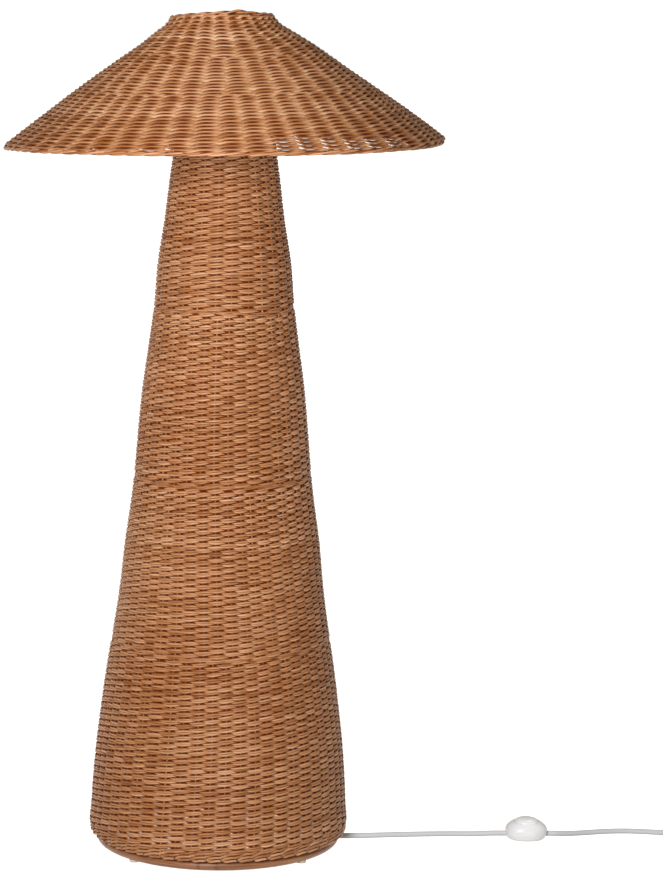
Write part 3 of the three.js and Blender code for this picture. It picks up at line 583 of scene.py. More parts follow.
class Finish:
    """A material's nodes, with the few links that all of them need."""

    def __init__(self, name, roughness, metallic=0.0, ior=1.45):
        self.material = bpy.data.materials.new(name)
        self.material.use_nodes = True
        self.tree = self.material.node_tree
        self.shader = self.tree.nodes["Principled BSDF"]
        self.shader.inputs["Roughness"].default_value = roughness
        self.shader.inputs["Metallic"].default_value = metallic
        self.shader.inputs["IOR"].default_value = ior

    def node(self, kind, **settings):
        made = self.tree.nodes.new(kind)
        for key, value in settings.items():
            setattr(made, key, value)
        return made

    def link(self, output, socket):
        self.tree.links.new(output, socket)

    def attribute(self, name):
        return self.node("ShaderNodeAttribute", attribute_name=name)

    def place(self):
        return self.node("ShaderNodeTexCoord").outputs["Object"]

    def stretched(self, vector, scale):
        mapping = self.node("ShaderNodeMapping")
        mapping.inputs["Scale"].default_value = scale
        self.link(vector, mapping.inputs["Vector"])
        return mapping.outputs["Vector"]

    def noise(self, vector, scale, detail=3.0, roughness=0.55):
        made = self.node("ShaderNodeTexNoise")
        made.inputs["Scale"].default_value = scale
        made.inputs["Detail"].default_value = detail
        made.inputs["Roughness"].default_value = roughness
        self.link(vector, made.inputs["Vector"])
        return made.outputs["Fac"]

    def math(self, operation, first, second):
        made = self.node("ShaderNodeMath", operation=operation)
        for value, socket in zip((first, second), made.inputs):
            if isinstance(value, (int, float)):
                socket.default_value = value
            else:
                self.link(value, socket)
        return made.outputs["Value"]

    def ramp(self, factor, stops):
        made = self.node("ShaderNodeValToRGB")
        elements = made.color_ramp.elements
        while len(elements) < len(stops):
            elements.new(0.5)
        for element, (position, color) in zip(elements, stops):
            element.position = position
            element.color = (*linear(color), 1)
        self.link(factor, made.inputs["Fac"])
        return made.outputs["Color"]

    def mixed(self, factor, first, color):
        made = self.node("ShaderNodeMix", data_type="RGBA")
        self.link(factor, made.inputs["Factor"])
        self.link(first, made.inputs[6])
        made.inputs[7].default_value = (*linear(color), 1)
        return made.outputs[2]

    def spread(self, factor, low, high):
        made = self.node("ShaderNodeMapRange")
        made.inputs["To Min"].default_value = low
        made.inputs["To Max"].default_value = high
        self.link(factor, made.inputs["Value"])
        return made.outputs["Result"]

    def bump(self, height, strength, distance):
        made = self.node("ShaderNodeBump")
        made.inputs["Strength"].default_value = strength
        made.inputs["Distance"].default_value = distance
        self.link(height, made.inputs["Height"])
        self.link(made.outputs["Normal"], self.shader.inputs["Normal"])

    def color(self, output):
        self.link(output, self.shader.inputs["Base Color"])

    def roughness(self, output):
        self.link(output, self.shader.inputs["Roughness"])


def rattan_finish():
    finish = Finish("rattan", 0.5, ior=1.46)
    fibre = finish.attribute("fibre").outputs["Vector"]
    shade = finish.attribute("tone").outputs["Fac"]
    streak = finish.noise(finish.stretched(fibre, (60, 2400, 2400)), 1.0, 3.0)
    mottle = finish.noise(finish.stretched(fibre, (24, 300, 300)), 1.0, 2.0)
    patch = finish.noise(finish.place(), 5.0, 2.0)
    for texture, reach in ((streak, 0.5), (mottle, 0.9), (patch, 0.35)):
        swing = finish.math("MULTIPLY", finish.math("SUBTRACT", texture, 0.5), reach)
        shade = finish.math("ADD", shade, swing)
    unshaded = finish.ramp(finish.math("ADD", shade, 0.5), rattan_colors)
    # Painted shade: faces marked as looking into the wall take the painted shade colour and less sheen
    painted_shade = finish.attribute("painted_shade").outputs["Fac"]
    finish.color(finish.mixed(painted_shade, unshaded, painted_shade_color))
    finish.roughness(finish.spread(mottle, 0.28, 0.47))
    finish.link(finish.spread(painted_shade, 0.35, 0.0), finish.shader.inputs["Specular IOR Level"])
    finish.bump(streak, 0.35, fibre_depth)
    return finish.material


rattan_colors = [
    (0.0, (112, 58, 20)),
    (0.3, (160, 100, 54)),
    (0.5, (193, 135, 91)),
    (0.75, (222, 171, 131)),
    (1.0, (245, 208, 175)),
]
# the colour of the painted shade in the weave's hollows
painted_shade_color = (112, 44, 5)


def pole_finish():
    finish = Finish("rattan_pole", 0.42, ior=1.45)
    fibre = finish.attribute("fibre").outputs["Vector"]
    grain = finish.noise(finish.stretched(fibre, (22, 700, 700)), 1.0, 4.0)
    cloud = finish.noise(finish.stretched(fibre, (9, 60, 60)), 1.0, 2.0)
    mix = finish.math("ADD", finish.math("MULTIPLY", grain, 0.6), finish.math("MULTIPLY", cloud, 0.4))
    mix = finish.math("ADD", mix, finish.attribute("tone").outputs["Fac"])
    finish.color(finish.ramp(mix, [(0.3, (122, 74, 46)), (0.5, (168, 114, 76)), (0.72, (192, 140, 100))]))
    finish.roughness(finish.spread(cloud, 0.34, 0.52))
    finish.bump(grain, 0.2, fibre_depth)
    return finish.material


def metal_finish(name, dark, light, roughness):
    finish = Finish(name, roughness, metallic=1.0)
    grain = finish.noise(finish.place(), 260.0, 3.0)
    finish.color(finish.ramp(grain, [(0.3, dark), (0.7, light)]))
    finish.roughness(finish.spread(grain, roughness - 0.06, roughness + 0.1))
    finish.bump(grain, 0.08, grain_depth)
    return finish.material


def coat_finish(name, dark, light, roughness, grain_scale=420.0):
    """Moulded plastic or a powder coat: fine even grain under a soft gloss."""
    finish = Finish(name, roughness)
    place = finish.place()
    grain = finish.noise(place, grain_scale, 2.0)
    cloud = finish.noise(place, 40.0, 2.0)
    finish.color(finish.ramp(cloud, [(0.3, dark), (0.7, light)]))
    finish.roughness(finish.spread(cloud, roughness - 0.05, roughness + 0.07))
    finish.bump(grain, 0.12, grain_depth)
    return finish.material


def cord_finish():
    """Fine white braid: two sets of yarns that cross at a slant."""
    finish = Finish("white_cord", 0.78)
    wrap = finish.node("ShaderNodeUVMap", uv_map="wrap").outputs["UV"]
    split = finish.node("ShaderNodeSeparateXYZ")
    finish.link(wrap, split.inputs["Vector"])
    along = finish.math("MULTIPLY", split.outputs["X"], 2 * math.pi / braid_pitch)
    around = finish.math("MULTIPLY", split.outputs["Y"], 2 * math.pi * braid_strands)
    rising = finish.math("SINE", finish.math("ADD", along, around), 0)
    falling = finish.math("SINE", finish.math("SUBTRACT", along, around), 0)
    braid = finish.math("MULTIPLY", rising, falling)
    height = finish.spread(braid, 0.5, 1.0)
    # The colour is darker down in the braid's grooves and palest on the yarns' crowns: painted shade
    finish.color(finish.ramp(height, [(0.2, (198, 202, 208)), (0.75, (236, 240, 247)),
                                      (1.0, (245, 249, 255))]))
    finish.bump(height, 0.5, braid_depth)
    return finish.material


def opal_finish():
    finish = coat_finish("opal_globe", (240, 236, 222), (248, 246, 238), 0.22)
    shader = finish.node_tree.nodes["Principled BSDF"]
    shader.inputs["Subsurface Weight"].default_value = 0.25
    shader.inputs["Subsurface Radius"].default_value = opal_reach
    return finish


def floor_finish():
    """Pale from above and clear from below, so that the object's underside can be looked at."""
    finish = Finish("floor", 0.9)
    grain = finish.noise(finish.place(), 3.0, 2.0)
    finish.color(finish.ramp(grain, [(0.3, (250, 250, 250)), (0.7, (252, 252, 252))]))
    under = finish.node("ShaderNodeNewGeometry").outputs["Backfacing"]
    clear = finish.node("ShaderNodeBsdfTransparent").outputs["BSDF"]
    mix = finish.node("ShaderNodeMixShader")
    finish.link(under, mix.inputs["Fac"])
    finish.link(finish.shader.outputs["BSDF"], mix.inputs[1])
    finish.link(clear, mix.inputs[2])
    finish.link(mix.outputs["Shader"], finish.tree.nodes["Material Output"].inputs["Surface"])
    return finish.material


rattan = rattan_finish()
rattan_pole = pole_finish()
black_steel = coat_finish("black_steel", (26, 26, 27), (44, 44, 46), 0.42)
zinc = metal_finish("zinc", (168, 170, 172), (198, 200, 203), 0.32)
brass = metal_finish("brass", (190, 148, 70), (216, 178, 98), 0.28)
black_plastic = coat_finish("black_plastic", (26, 27, 28), (36, 37, 38), 0.42)
white_plastic = coat_finish("white_plastic", (240, 243, 249), (246, 249, 254), 0.3)
white_cord = cord_finish()
pale_plastic = coat_finish("pale_plastic", (206, 198, 182), (224, 218, 206), 0.36)
opal_globe = opal_finish()


# View, floor and light

def make_camera():
    data = bpy.data.cameras.new("camera")
    data.sensor_width = camera_sensor
    data.lens = camera_sensor * camera_reach
    camera = bpy.data.objects.new("camera", data)
    bpy.context.scene.collection.objects.link(camera)
    turn = Matrix.Rotation(math.radians(-camera_yaw), 4, "Z")
    lean = Matrix.Rotation(math.radians(90 - camera_pitch), 4, "X")
    roll = Matrix.Rotation(math.radians(camera_roll), 4, "Z")
    camera.matrix_world = Matrix.Translation(camera_place) @ turn @ lean @ roll
    bpy.context.scene.camera = camera


def make_floor():
    reach = floor_reach
    mesh = bpy.data.meshes.new("floor")
    corners = [(-reach, -reach, 0), (reach, -reach, 0), (reach, reach, 0), (-reach, reach, 0)]
    mesh.from_pydata(corners, [], [(0, 1, 2, 3)])
    mesh.update()
    floor = link(mesh, "floor", floor_finish())
    floor.visible_diffuse = False
    return floor


def make_light(name, place, size, power, aim):
    data = bpy.data.lights.new(name, "AREA")
    data.shape = "DISK"
    data.size = size
    data.energy = power
    light = bpy.data.objects.new(name, data)
    bpy.context.scene.collection.objects.link(light)
    light.visible_camera = False
    light.location = place
    away = light.location - Vector(aim)
    light.rotation_euler = away.to_track_quat("Z", "Y").to_euler()


def make_even_light(name, strength, source, pieces):
    """A light from one side, without shadows, on the given pieces alone."""
    data = bpy.data.lights.new(name, "SUN")
    data.energy = strength
    data.use_shadow = False
    light = bpy.data.objects.new(name, data)
    bpy.context.scene.collection.objects.link(light)
    light.rotation_euler = Vector(source).to_track_quat("Z", "Y").to_euler()
    lit = bpy.data.collections.new(f"{name}_lit")
    for piece in pieces:
        lit.objects.link(piece)
    light.light_linking.receiver_collection = lit


def make_sky(seen, cast):
    """A sky that looks as bright as seen, and lights the object as softly as cast."""
    world = bpy.data.worlds.new("sky")
    world.use_nodes = True
    nodes = world.node_tree.nodes
    links = world.node_tree.links
    plain = nodes["Background"]
    plain.inputs["Color"].default_value = cast_color
    plain.inputs["Strength"].default_value = cast
    bright = nodes.new("ShaderNodeBackground")
    bright.inputs["Strength"].default_value = seen
    bright.inputs["Color"].default_value = (1, 1, 1, 1)
    path = nodes.new("ShaderNodeLightPath")
    mix = nodes.new("ShaderNodeMixShader")
    links.new(path.outputs["Is Camera Ray"], mix.inputs["Fac"])
    links.new(plain.outputs["Background"], mix.inputs[1])
    links.new(bright.outputs["Background"], mix.inputs[2])
    links.new(mix.outputs["Shader"], nodes["World Output"].inputs["Surface"])
    bpy.context.scene.world = world


sky_seen = 1.0
sky_cast = 0.29
cast_color = (1.0, 0.89, 0.73, 1.0)
key_place = (-0.45, -2.15, 1.06)
key_size = 0.8
key_power = 47.5
key_aim = (0.0, 0.0, 1.5)
floor_reach = 60.0
floor_light = 3.2  # makes the floor as white as the sky
# Strengths of the white plastic's own lights, and where they come from
plastic_lights = [(0.65, (0.25, 0.35, 0.87)), (0.45, (0.3, -0.95, -0.15))]
make_camera()
floor = make_floor()
make_sky(sky_seen, sky_cast)
make_light("key", key_place, key_size, key_power, key_aim)
make_even_light("floor_light", floor_light, (0, 0, 1), [floor])
bpy.context.scene.view_settings.view_transform = "Standard"


# Lead

def cord_tube(name, line, outward=(0, 0, 1)):
    """A round tube along a line, with a map of metres along it and shares of a turn round it."""
    strands = Strands(cord_sides)
    strands.add(line, np.array(outward, dtype=float), cord_radius, cord_radius)
    piece = strands.build(name, white_cord)
    wrap = piece.data.uv_layers.new(name="wrap")
    laid = strands.maps[0] * [line_length(line), 1]
    flat = np.concatenate([laid, np.zeros((2 * cord_sides, 2))])
    wrap.uv.foreach_set("vector", flat.ravel())
    return piece


def coil_line():
    """Clockwise from the back, spiralling in and out, a layer up in each half turn of return."""
    turns = coil_layers * coil_turns_per_layer
    line = []
    for turn in np.arange(turns * coil_steps + 1) / coil_steps:
        layer = min(int(turn // coil_turns_per_layer), coil_layers - 1)
        within = turn - layer * coil_turns_per_layer
        inward = within if layer % 2 == 0 else coil_turns_per_layer - within
        climbed = 0
        if layer > 0 and within < 1 / 4:
            climbed = (within + 1 / 4) * 2 - 1
        elif layer + 1 < coil_layers and within > coil_turns_per_layer - 1 / 4:
            climbed = (within - coil_turns_per_layer + 1 / 4) * 2
        radius = coil_outer_radius - coil_pitch * inward
        angle = math.pi / 2 - 2 * math.pi * turn
        line.append((coil_x + radius * math.cos(angle),
                     coil_y + radius * math.sin(angle),
                     coil_bottom + coil_pitch * (layer + climbed)))
    return np.array(line)


def whole_far_line():
    back = coil_y + coil_outer_radius
    top = coil_bottom + coil_pitch * (coil_layers - 1)
    coil_start = (coil_x - cord_straight, back, coil_bottom)
    coil_end = (coil_x + cord_straight, back, top)
    before = smooth_line([*far_route, coil_start], cord_step)
    after = smooth_line([coil_end, *end_route], cord_step)
    return np.concatenate([before, coil_line(), after])


def make_lead():
    """The lead with its switch, plug and tie, and even lights for the white plastic."""
    near = smooth_line(near_route, cord_step)
    piece = cord_tube("lead_near", near)
    settle(piece, "base", "white_cord", "lead_to_switch")
    make_switch()
    far = whole_far_line()
    piece = cord_tube("lead_far", far)
    settle(piece, "base", "white_cord", "lead_to_coil", "lead_coil", "lead_to_plug")
    make_plug()
    make_coil_tie()
    white = [piece for piece in bpy.data.objects if piece.name.startswith(("foot_switch", "plug_shell"))]
    for index, (strength, source) in enumerate(plastic_lights):
        make_even_light(f"plastic_light_{index + 1}", strength, source, white)


# Foot switch

switch_low, base_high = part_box("switch_base")
cover_low, switch_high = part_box("switch_cover")
switch_middle = (switch_low + switch_high) / 2
switch_half_length = (switch_high.x - switch_low.x) / 2
switch_half_width = (switch_high.y - switch_low.y) / 2
oval_share = 0.86
oval_sides = 96
# Share of the way up each shell, then of half the length and of half the width.
switch_base_shares = [
    (0.0, 0.72, 0.74),
    (0.04, 0.79, 0.81),
    (0.14, 0.86, 0.875),
    (0.45, 0.95, 0.95),
    (0.8, 0.995, 0.995),
    (1.0, 1.0, 1.0),
]
switch_cover_shares = [
    (0.0, 1.0, 1.0),
    (0.22, 0.985, 0.985),
    (0.55, 0.9, 0.92),
    (0.85, 0.75, 0.83),
    (0.97, 0.68, 0.785),
    (1.0, 0.655, 0.77),
]


def oval(half_length, half_width, height, middle):
    turn = angles_round(oval_sides)
    along = np.sign(np.cos(turn)) * np.abs(np.cos(turn)) ** oval_share
    across = np.sign(np.sin(turn)) * np.abs(np.sin(turn)) ** oval_share
    return np.stack([middle[0] + along * half_length, middle[1] + across * half_width,
                     np.full(oval_sides, height)], axis=-1)


def switch_rings(shares, bottom, top):
    fine = np.linspace(0, 1, 25)
    lengths, widths = both_through(fine, shares)
    return [oval(switch_half_length * a, switch_half_width * b, bottom + (top - bottom) * up, switch_middle)
            for up, a, b in zip(fine, lengths, widths)]


button_dome_shares = [
    (1.0, 0.0),
    (0.985, 0.2),
    (0.95, 0.38),
    (0.88, 0.56),
    (0.77, 0.72),
    (0.6, 0.86),
    (0.4, 0.95),
    (0.2, 0.99),
    (0.0, 1.0),
]
button_edge_height = 0.0225


def make_switch():
    low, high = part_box("switch_button")
    x, y, _ = middle_of("switch_button")
    radius = half_across("switch_button")
    rings = switch_rings(switch_base_shares, switch_low.z, base_high.z)
    base = shaped("foot_switch_base", rings, white_plastic)
    settle(base, "base", "white_plastic", "switch_base")
    rings = switch_rings(switch_cover_shares, cover_low.z, switch_high.z)
    rings += [round_line(angles_round(oval_sides), radius + seat_gap, height, switch_middle)
              for height in (switch_high.z, cover_low.z)]
    cover = shaped("foot_switch_cover", rings, white_plastic, closed_round=False)
    settle(cover, "base", "white_plastic", "switch_cover")
    dome = high.z - button_edge_height
    outline = [(0, low.z), (radius, low.z)]
    outline += [(radius * out, button_edge_height + dome * up) for out, up in button_dome_shares]
    button = turned("foot_switch_button", outline, white_plastic)
    moved(button, (x, y, 0))
    settle(button, "button", "white_plastic", "switch_button")
    return [base, cover, button]


# Plug

plug_relief_length = 0.030
plug_relief_tip = 0.0046
plug_relief_foot = 0.0058
plug_rib_depth = 0.0006
plug_ribs = 7
pin_edge_share = 0.8
pin_sides = 32
plug_shares = [
    (0.0, 0.34, 0.84),
    (0.06, 0.48, 0.88),
    (0.24, 0.7, 0.97),
    (0.48, 0.97, 1.0),
    (0.9, 1.0, 1.0),
    (0.98, 0.975, 0.965),
    (1.0, 0.92, 0.9),
]


def plug_ring(half_width, half_thickness, along, middle):
    flat = oval(half_width, half_thickness, 0, (0, 0))
    return np.stack([middle[0] + flat[:, 0], np.full(oval_sides, along), middle[1] + flat[:, 1]], axis=-1)


def make_plug():
    low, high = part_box("plug_body")
    x, _, z = middle_of("plug_body")
    middle = (x, z)
    half_width = half_across("plug_body")
    half_thickness = (high.z - low.z) / 2
    rings = []
    for t in np.linspace(0, 1, 8 * plug_ribs + 1):
        radius = plug_relief_tip + (plug_relief_foot - plug_relief_tip) * t
        radius -= plug_rib_depth * ribbed(t, plug_ribs)
        rings.append(plug_ring(radius, radius, high.y - plug_relief_length * t, middle))
    body_start = high.y - plug_relief_length
    fine = np.linspace(0, 1, 31)
    widths, painted_shades = both_through(fine, plug_shares)
    for t, a, b in zip(fine, widths, painted_shades):
        y = body_start + (low.y - body_start) * t
        rings.append(plug_ring(half_width * a, half_thickness * b, y, middle))
    body = shaped("plug_shell", rings[::-1], white_plastic)
    settle(body, "base", "white_plastic", "plug_body")
    return [body, make_pin("left"), make_pin("right")]


def make_pin(side):
    node = f"plug_pin_{side}"
    low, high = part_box(node)
    x, _, z = middle_of(node)
    radius = half_across(node)
    length = high.y - low.y
    outline = softened([(0, 0), (radius, 0), (radius, length), (0, length)], radius * pin_edge_share)
    pin = turned(f"plug_prong_{side}", outline, zinc, sides=pin_sides)
    moved(pin, (x, high.y, z), Matrix.Rotation(math.pi / 2, 4, "X"))
    return settle(pin, "base", "zinc", node)


def make_coil_tie():
    tie = bpy.data.objects["coil_tie"]
    tie.data.materials.clear()
    tie.data.materials.append(black_plastic)
    return tie


make_lead()


def make_inside_lead():
    foot = [(cord_exit + x, y, z) for x, y, z in foot_route]
    head = [(x, y, top_ring_height + z) for x, y, z in head_route]
    top = (0, 0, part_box("lead_inside")[1].z)
    rise = [(rod_radius(height) - lead_from_rod, 0, height) for height in held_heights]
    line = smooth_line([*foot, *rise, *head, top], cord_step * 2)
    piece = cord_tube("lead_within", line, outward=(0, 1, 0))
    settle(piece, "base", "white_cord", "lead_inside")


cord_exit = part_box("lead_inside")[1].x
top_ring_height = 0.915
lead_from_rod = 0.0070  # from a rod's centre to the lead's
rod_inset = 0.0163  # from the body's outside to a rod's centre
held_heights = (0.183, 0.243, 0.40, 0.43, 0.56, 0.716)


def body_radius(height):
    shares = (height - body_foot_height) / body_height
    growth = smooth_through(shares, body_outline_shares)
    return body_top_radius + (body_foot_radius - body_top_radius) * growth


def rod_radius(height):
    return float(body_radius(np.array([height]))[0]) - rod_inset


make_inside_lead()


# Body weave

def row_heights():
    """Middle heights of the rows, from the foot border to the top."""
    heights = [body_foot_height + weaver_half_height]
    places = [pair[0] for pair in row_pitches]
    pitches = [pair[1] for pair in row_pitches]
    while heights[-1] < body_top_height - weaver_half_height:
        heights.append(heights[-1] + float(np.interp(heights[-1], places, pitches)))
    return heights[:-1]


body_sway = Ripple(3, 7, 3, 0.25)  # rows wander up and down together
body_dent = Ripple(5, 9, 4, 0.16)  # the wall isn't quite round
stake_lean = Ripple(8, 6, 3, 0.5)
row_unevenness = Ripple(13, 12, 9, 0.011)
body_sway_reach = 0.0012
body_dent_reach = 0.0003
stake_lean_reach = 0.02  # radians
wall_step = 0.002  # up and down, to find which way the wall faces
row_unevenness_reach = 0.00014


def body_surface(angle, height, inward):
    """Points a distance inward from the outside of the body, and the way out there."""
    radius = body_radius(height) + body_dent.at(angle, height) * body_dent_reach - inward
    lean = (body_radius(height - wall_step) - body_radius(height + wall_step)) / (2 * wall_step)
    bow = body_bow * np.sin(math.pi * np.clip((height - body_foot_height) / body_height, 0, 1))
    return round_line(angle, radius, height, (bow, 0)), unit(round_line(angle, 1, lean))


border_calm = 0.15  # how far from a border the rows run level


def edge_ease(height):
    """Nothing at the borders, one away from them."""
    near = np.minimum(height - body_foot_height, body_top_height - height)
    return eased(np.clip(near / border_calm, 0, 1))


def loose_places(seed, stakes):
    """How far each stake or spoke stands from its even place, as a phase of the weave."""
    return np.random.default_rng(seed).normal(0, stake_play, stakes)


stake_play = 0.16
# where in the wall each stake lies, which sets its painted shade
stake_sunk = (0.47, 0.66)
stake_tones = (-0.1, 0.1)  # a stake's or spoke's middle tone, and its spread
seam_angle = math.pi / 2  # rings of strands begin and end at the back
weaver_rounds = (0.4, 1.8)  # a weaver's shortest and longest run round the body
weaver_tone_play = 0.07
weaver_size_play = 0.05
bead_play = 0.0001
edge_shade_between = 0.3  # how much painted shade darkens a pair's outer sides between the stakes
edge_shade_over = 0.85  # and over a stake
bead_size_play = 0.05
row_phase_play = 0.10
change_calm = 0.75  # how much less the weavers swing where the number of stakes changes
change_pull = 0.4  # how much nearer the rows lie to that height
change_reach = 0.003


def weave_phase(angle, places):
    """Whole half turns at the stakes, whose number is that of their places."""
    stakes = len(places)
    spaced = np.arange(stakes + 1) * 2 * math.pi / stakes
    ends = np.append(places, places[0])
    return angle * stakes / 2 - np.interp(angle % (2 * math.pi), spaced, ends)


def stake_angle(stake, places):
    return (stake * math.pi + places[stake]) / (len(places) / 2)


body_places = {stakes: loose_places(stakes, stakes) for _, stakes, _ in stake_zones}


def change_near(height):
    """How near a row is to a change of the number of stakes, and how far below it."""
    away = min((start - height for start, _, _ in stake_zones[1:]), key=abs)
    return math.exp(-(away / change_reach) ** 2), away


def weave_body(material):
    """Pairs of weavers, over one stake and under the next, each row the other way about."""
    heights = row_heights()
    bead_heights, swells, spreads = np.array(bead_shapes).T
    tones = Lengths(21, 2 * len(heights), *weaver_rounds, weaver_tone_play)
    sizes = Lengths(22, 2 * len(heights), *weaver_rounds, weaver_size_play)
    rng = np.random.default_rng(25)
    strands = Strands()
    pieces = []
    for row, height in enumerate(heights):
        _, stakes, steps = [zone for zone in stake_zones if height >= zone[0]][-1]
        samples = stakes * steps
        swell = np.interp(height, bead_heights, swells)
        spread = np.interp(height, bead_heights, spreads)
        angle = angles_round(samples) + seam_angle
        middle = height + body_sway.at(angle, height) * body_sway_reach * edge_ease(height)
        middle = middle + row_unevenness.at(angle, height) * row_unevenness_reach
        leant = angle - stake_lean.at(angle, height) * stake_lean_reach
        phase = weave_phase(leant, body_places[stakes]) + row * math.pi
        phase = phase + wander(rng, stakes, samples) * row_phase_play
        change, away = change_near(height)
        middle = middle + away * change_pull * change
        calm = 1 - change_calm * change
        swing = np.cos(phase) * (1.2 - 0.2 * np.cos(phase) ** 2) * calm
        crest = (1 - np.sin(phase) ** 6) * calm
        for side in (-1, 1):
            rounds = 2 * row + (side + 1) / 2 + np.arange(samples) / samples
            size = 1 + sizes.at(rounds) + bead_size_play * wander(rng, stakes, samples)
            loose = wander(rng, stakes, samples) * bead_play
            level = middle + side * (pair_offset + spread * crest) + loose
            level = level + weave_slant * np.sin(phase)
            inward = weave_depth + weaver_half_depth - weave_depth * swing
            points, out = body_surface(angle, level, inward)
            # The weaver's outer side gets painted shade, darkest over the stakes
            strands.add(points, out, weaver_half_depth * size,
                        (weaver_half_height + swell * crest) * size,
                        tone=tones.at(rounds), closed=True, sunk=inward / body_wall,
                        edge=-side * (edge_shade_between + (edge_shade_over - edge_shade_between) * np.clip(swing, 0, 1)))
        if (row + 1) % rows_per_piece == 0 or row + 1 == len(heights):
            pieces.append(strands.build(f"body_rows_{len(pieces) + 1}", material))
            strands = Strands()
    return pieces


stake_foot_overrun = 0.010  # on into the borders
stake_top_overrun = 0.004
stake_step = 0.006


def weave_stakes(material):
    rng = np.random.default_rng(31)
    strands = Strands(6)
    ends = [start for start, _, _ in stake_zones[1:]] + [body_top_height + stake_top_overrun]
    for (start, stakes, _), end in zip(stake_zones, ends):
        height = np.arange(max(start, body_foot_height - stake_foot_overrun), end, stake_step)
        for stake in range(stakes):
            base = stake_angle(stake, body_places[stakes])
            angle = base + stake_lean.at(base, height) * stake_lean_reach
            level = np.clip(height, body_foot_height, body_top_height)
            points, out = body_surface(angle, level, weave_depth + weaver_half_depth)
            points[:, 2] = height
            strands.add(points, out, stake_radius, stake_radius, tone=rng.normal(*stake_tones),
                        sunk=rng.uniform(*stake_sunk))
    return [strands.build("body_stakes", material)]


for woven in [*weave_body(rattan), *weave_stakes(rattan)]:
    settle(woven, "base", "rattan", "woven_body")


# Twisted borders

def twisted_ring(strands, radius, height, count, offset, thickness, turns, seed, lift=None):
    """Strands wound round each other, in a ring about the axis."""
    samples = turns * twist_steps
    angle = angles_round(samples) + seam_angle
    tones = np.random.default_rng(seed).normal(0, twist_tone_play, count)
    uneven = Ripple(seed + 1, 6, 12, 1.0)
    for index in range(count):
        turn = turns * angle + index * 2 * math.pi / count
        reach = radius + offset * np.cos(turn)
        level = height + offset * np.sin(turn)
        level = level + uneven.at(angle, index * twist_apart) * offset * twist_sway_share
        points = round_line(angle, reach, level)
        if lift is not None:
            points = lift(points)
        out = round_line(angle, 1, 0)
        size = thickness * (1 + twist_size_play * uneven.at(angle, 3 + index))
        strands.add(points, out, size, size, tone=tones[index], closed=True,
                    sunk=0.5 - sunk_share * np.cos(turn))


twist_steps = 24  # to each turn of a twist
twist_tone_play = 0.14
twist_sway_share = 0.12  # of the strands' offset
twist_size_play = 0.05
twist_apart = 0.3  # how differently the strands of a twist wander
top_twist_offset = 0.0024  # from the rope's middle to each strand's
top_twist_thickness = 0.0025


def make_body_borders():
    top_low, top_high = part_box("body_top_border")
    strands = Strands()
    middle = (top_low.z + top_high.z) / 2
    half = (top_high.z - top_low.z) / 2
    twisted_ring(strands, top_high.x - half, middle, 3, top_twist_offset, top_twist_thickness, 9, 41)
    settle(strands.build("body_top_twist", rattan), "base", "rattan", "body_top_border")
    strands = Strands()
    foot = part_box("body_foot_border")[0].z
    for index, (up, inset) in enumerate(foot_rows):
        twined_row(strands, body_foot_radius - inset, foot + up, 51 + index)
    settle(strands.build("body_foot_twist", rattan), "base", "rattan", "body_foot_border")


def twined_row(strands, radius, height, seed):
    """Two weavers that cross between every two stakes, one bead over each stake."""
    samples = foot_stakes * foot_steps * 2
    angle = angles_round(samples) + seam_angle
    tones = Lengths(seed, 2, 0.3, 1.2, 0.08)
    for half in range(2):
        phase = angle * foot_stakes / 2 + half * math.pi
        reach = radius + foot_row_depth * np.cos(phase)
        level = height + foot_row_slant * np.sin(phase) ** 3
        points = round_line(angle, reach, level)
        out = round_line(angle, 1, 0)
        tone = tones.at(half + np.arange(samples) / samples)
        strands.add(points, out, weaver_half_depth, foot_row_half_height, tone=tone, closed=True,
                    sunk=0.5 - sunk_share * np.cos(phase))


# Middle height over the border's foot, and distance in from its widest to the middle of the row
foot_rows = [(0.0110, 0.0040), (0.0067, 0.0042), (0.0022, 0.0054)]
foot_row_depth = 0.0021
foot_row_slant = 0.0016
foot_row_half_height = 0.0017

make_body_borders()


# Shade

def tilt(points):
    """The shade leans on its seat, its right side up; its fitter stays level."""
    reach = np.hypot(points[:, 0], points[:, 1])
    t = np.clip((reach - tilt_start) / (tilt_end - tilt_start), 0, 1)
    lean = shade_tilt * eased(t)
    tilted = points.copy()
    tilted[:, 0] += shade_shift * t - (points[:, 2] - seat_height) * lean
    tilted[:, 2] += points[:, 0] * lean
    crown = np.clip((points[:, 2] - crown_start) / (collar_top - crown_start), 0, 1)
    place = np.clip(points[:, 0], -crown_reach, crown_reach)
    tilted[:, 2] += crown * smooth_through(place, crown_wave)
    crown = np.minimum(crown * 2, 1)
    tilted[:, :2] *= (1 + crown_widening * crown)[:, None]
    tilted[:, 0] -= crown_lean * crown
    edge = np.clip((reach - droop_start) / (shade_foot_radius - droop_start), 0, 1) ** 2
    droop = edge * smooth_through(points[:, 0] / np.maximum(reach, droop_start), rim_droop)
    tilted[:, :2] *= (1 + droop * droop_out_share / np.maximum(reach, droop_start))[:, None]
    tilted[:, 2] -= droop * droop_down_share
    return tilted


droop_start = 0.235
droop_out_share = 0.8  # along the cone's slope
droop_down_share = 0.6
# Share of the way across from left to right, and how much longer the cone is there
rim_droop = [(-1.0, 0.0062), (-0.97, 0.0042), (-0.92, 0.0030), (-0.76, 0.0019), (0.0, 0.0015),
             (0.76, 0.0018), (0.90, 0.0010), (1.0, -0.0012)]
crown_start = 1.042
crown_reach = 0.070
crown_widening = 0.008
crown_lean = 0.0048
# Across the mouth from left to right, and how far its edge stands above its level
crown_wave = [(-0.070, -0.0022), (-0.052, 0.0004), (-0.035, 0.0022), (-0.012, 0.0034), (0.004, 0.0050),
              (0.024, 0.0058), (0.045, 0.0030), (0.070, 0.0004)]


cone_sway = Ripple(61, 7, 4, 0.3)
cone_dent = Ripple(62, 7, 4, 0.2)
spoke_lean = Ripple(63, 5, 2, 0.3)
cone_sway_reach = 0.0011
cone_dent_reach = 0.0009
spoke_lean_reach = 0.012
cone_step = 0.006  # up and down the slant, to find which way the cone faces


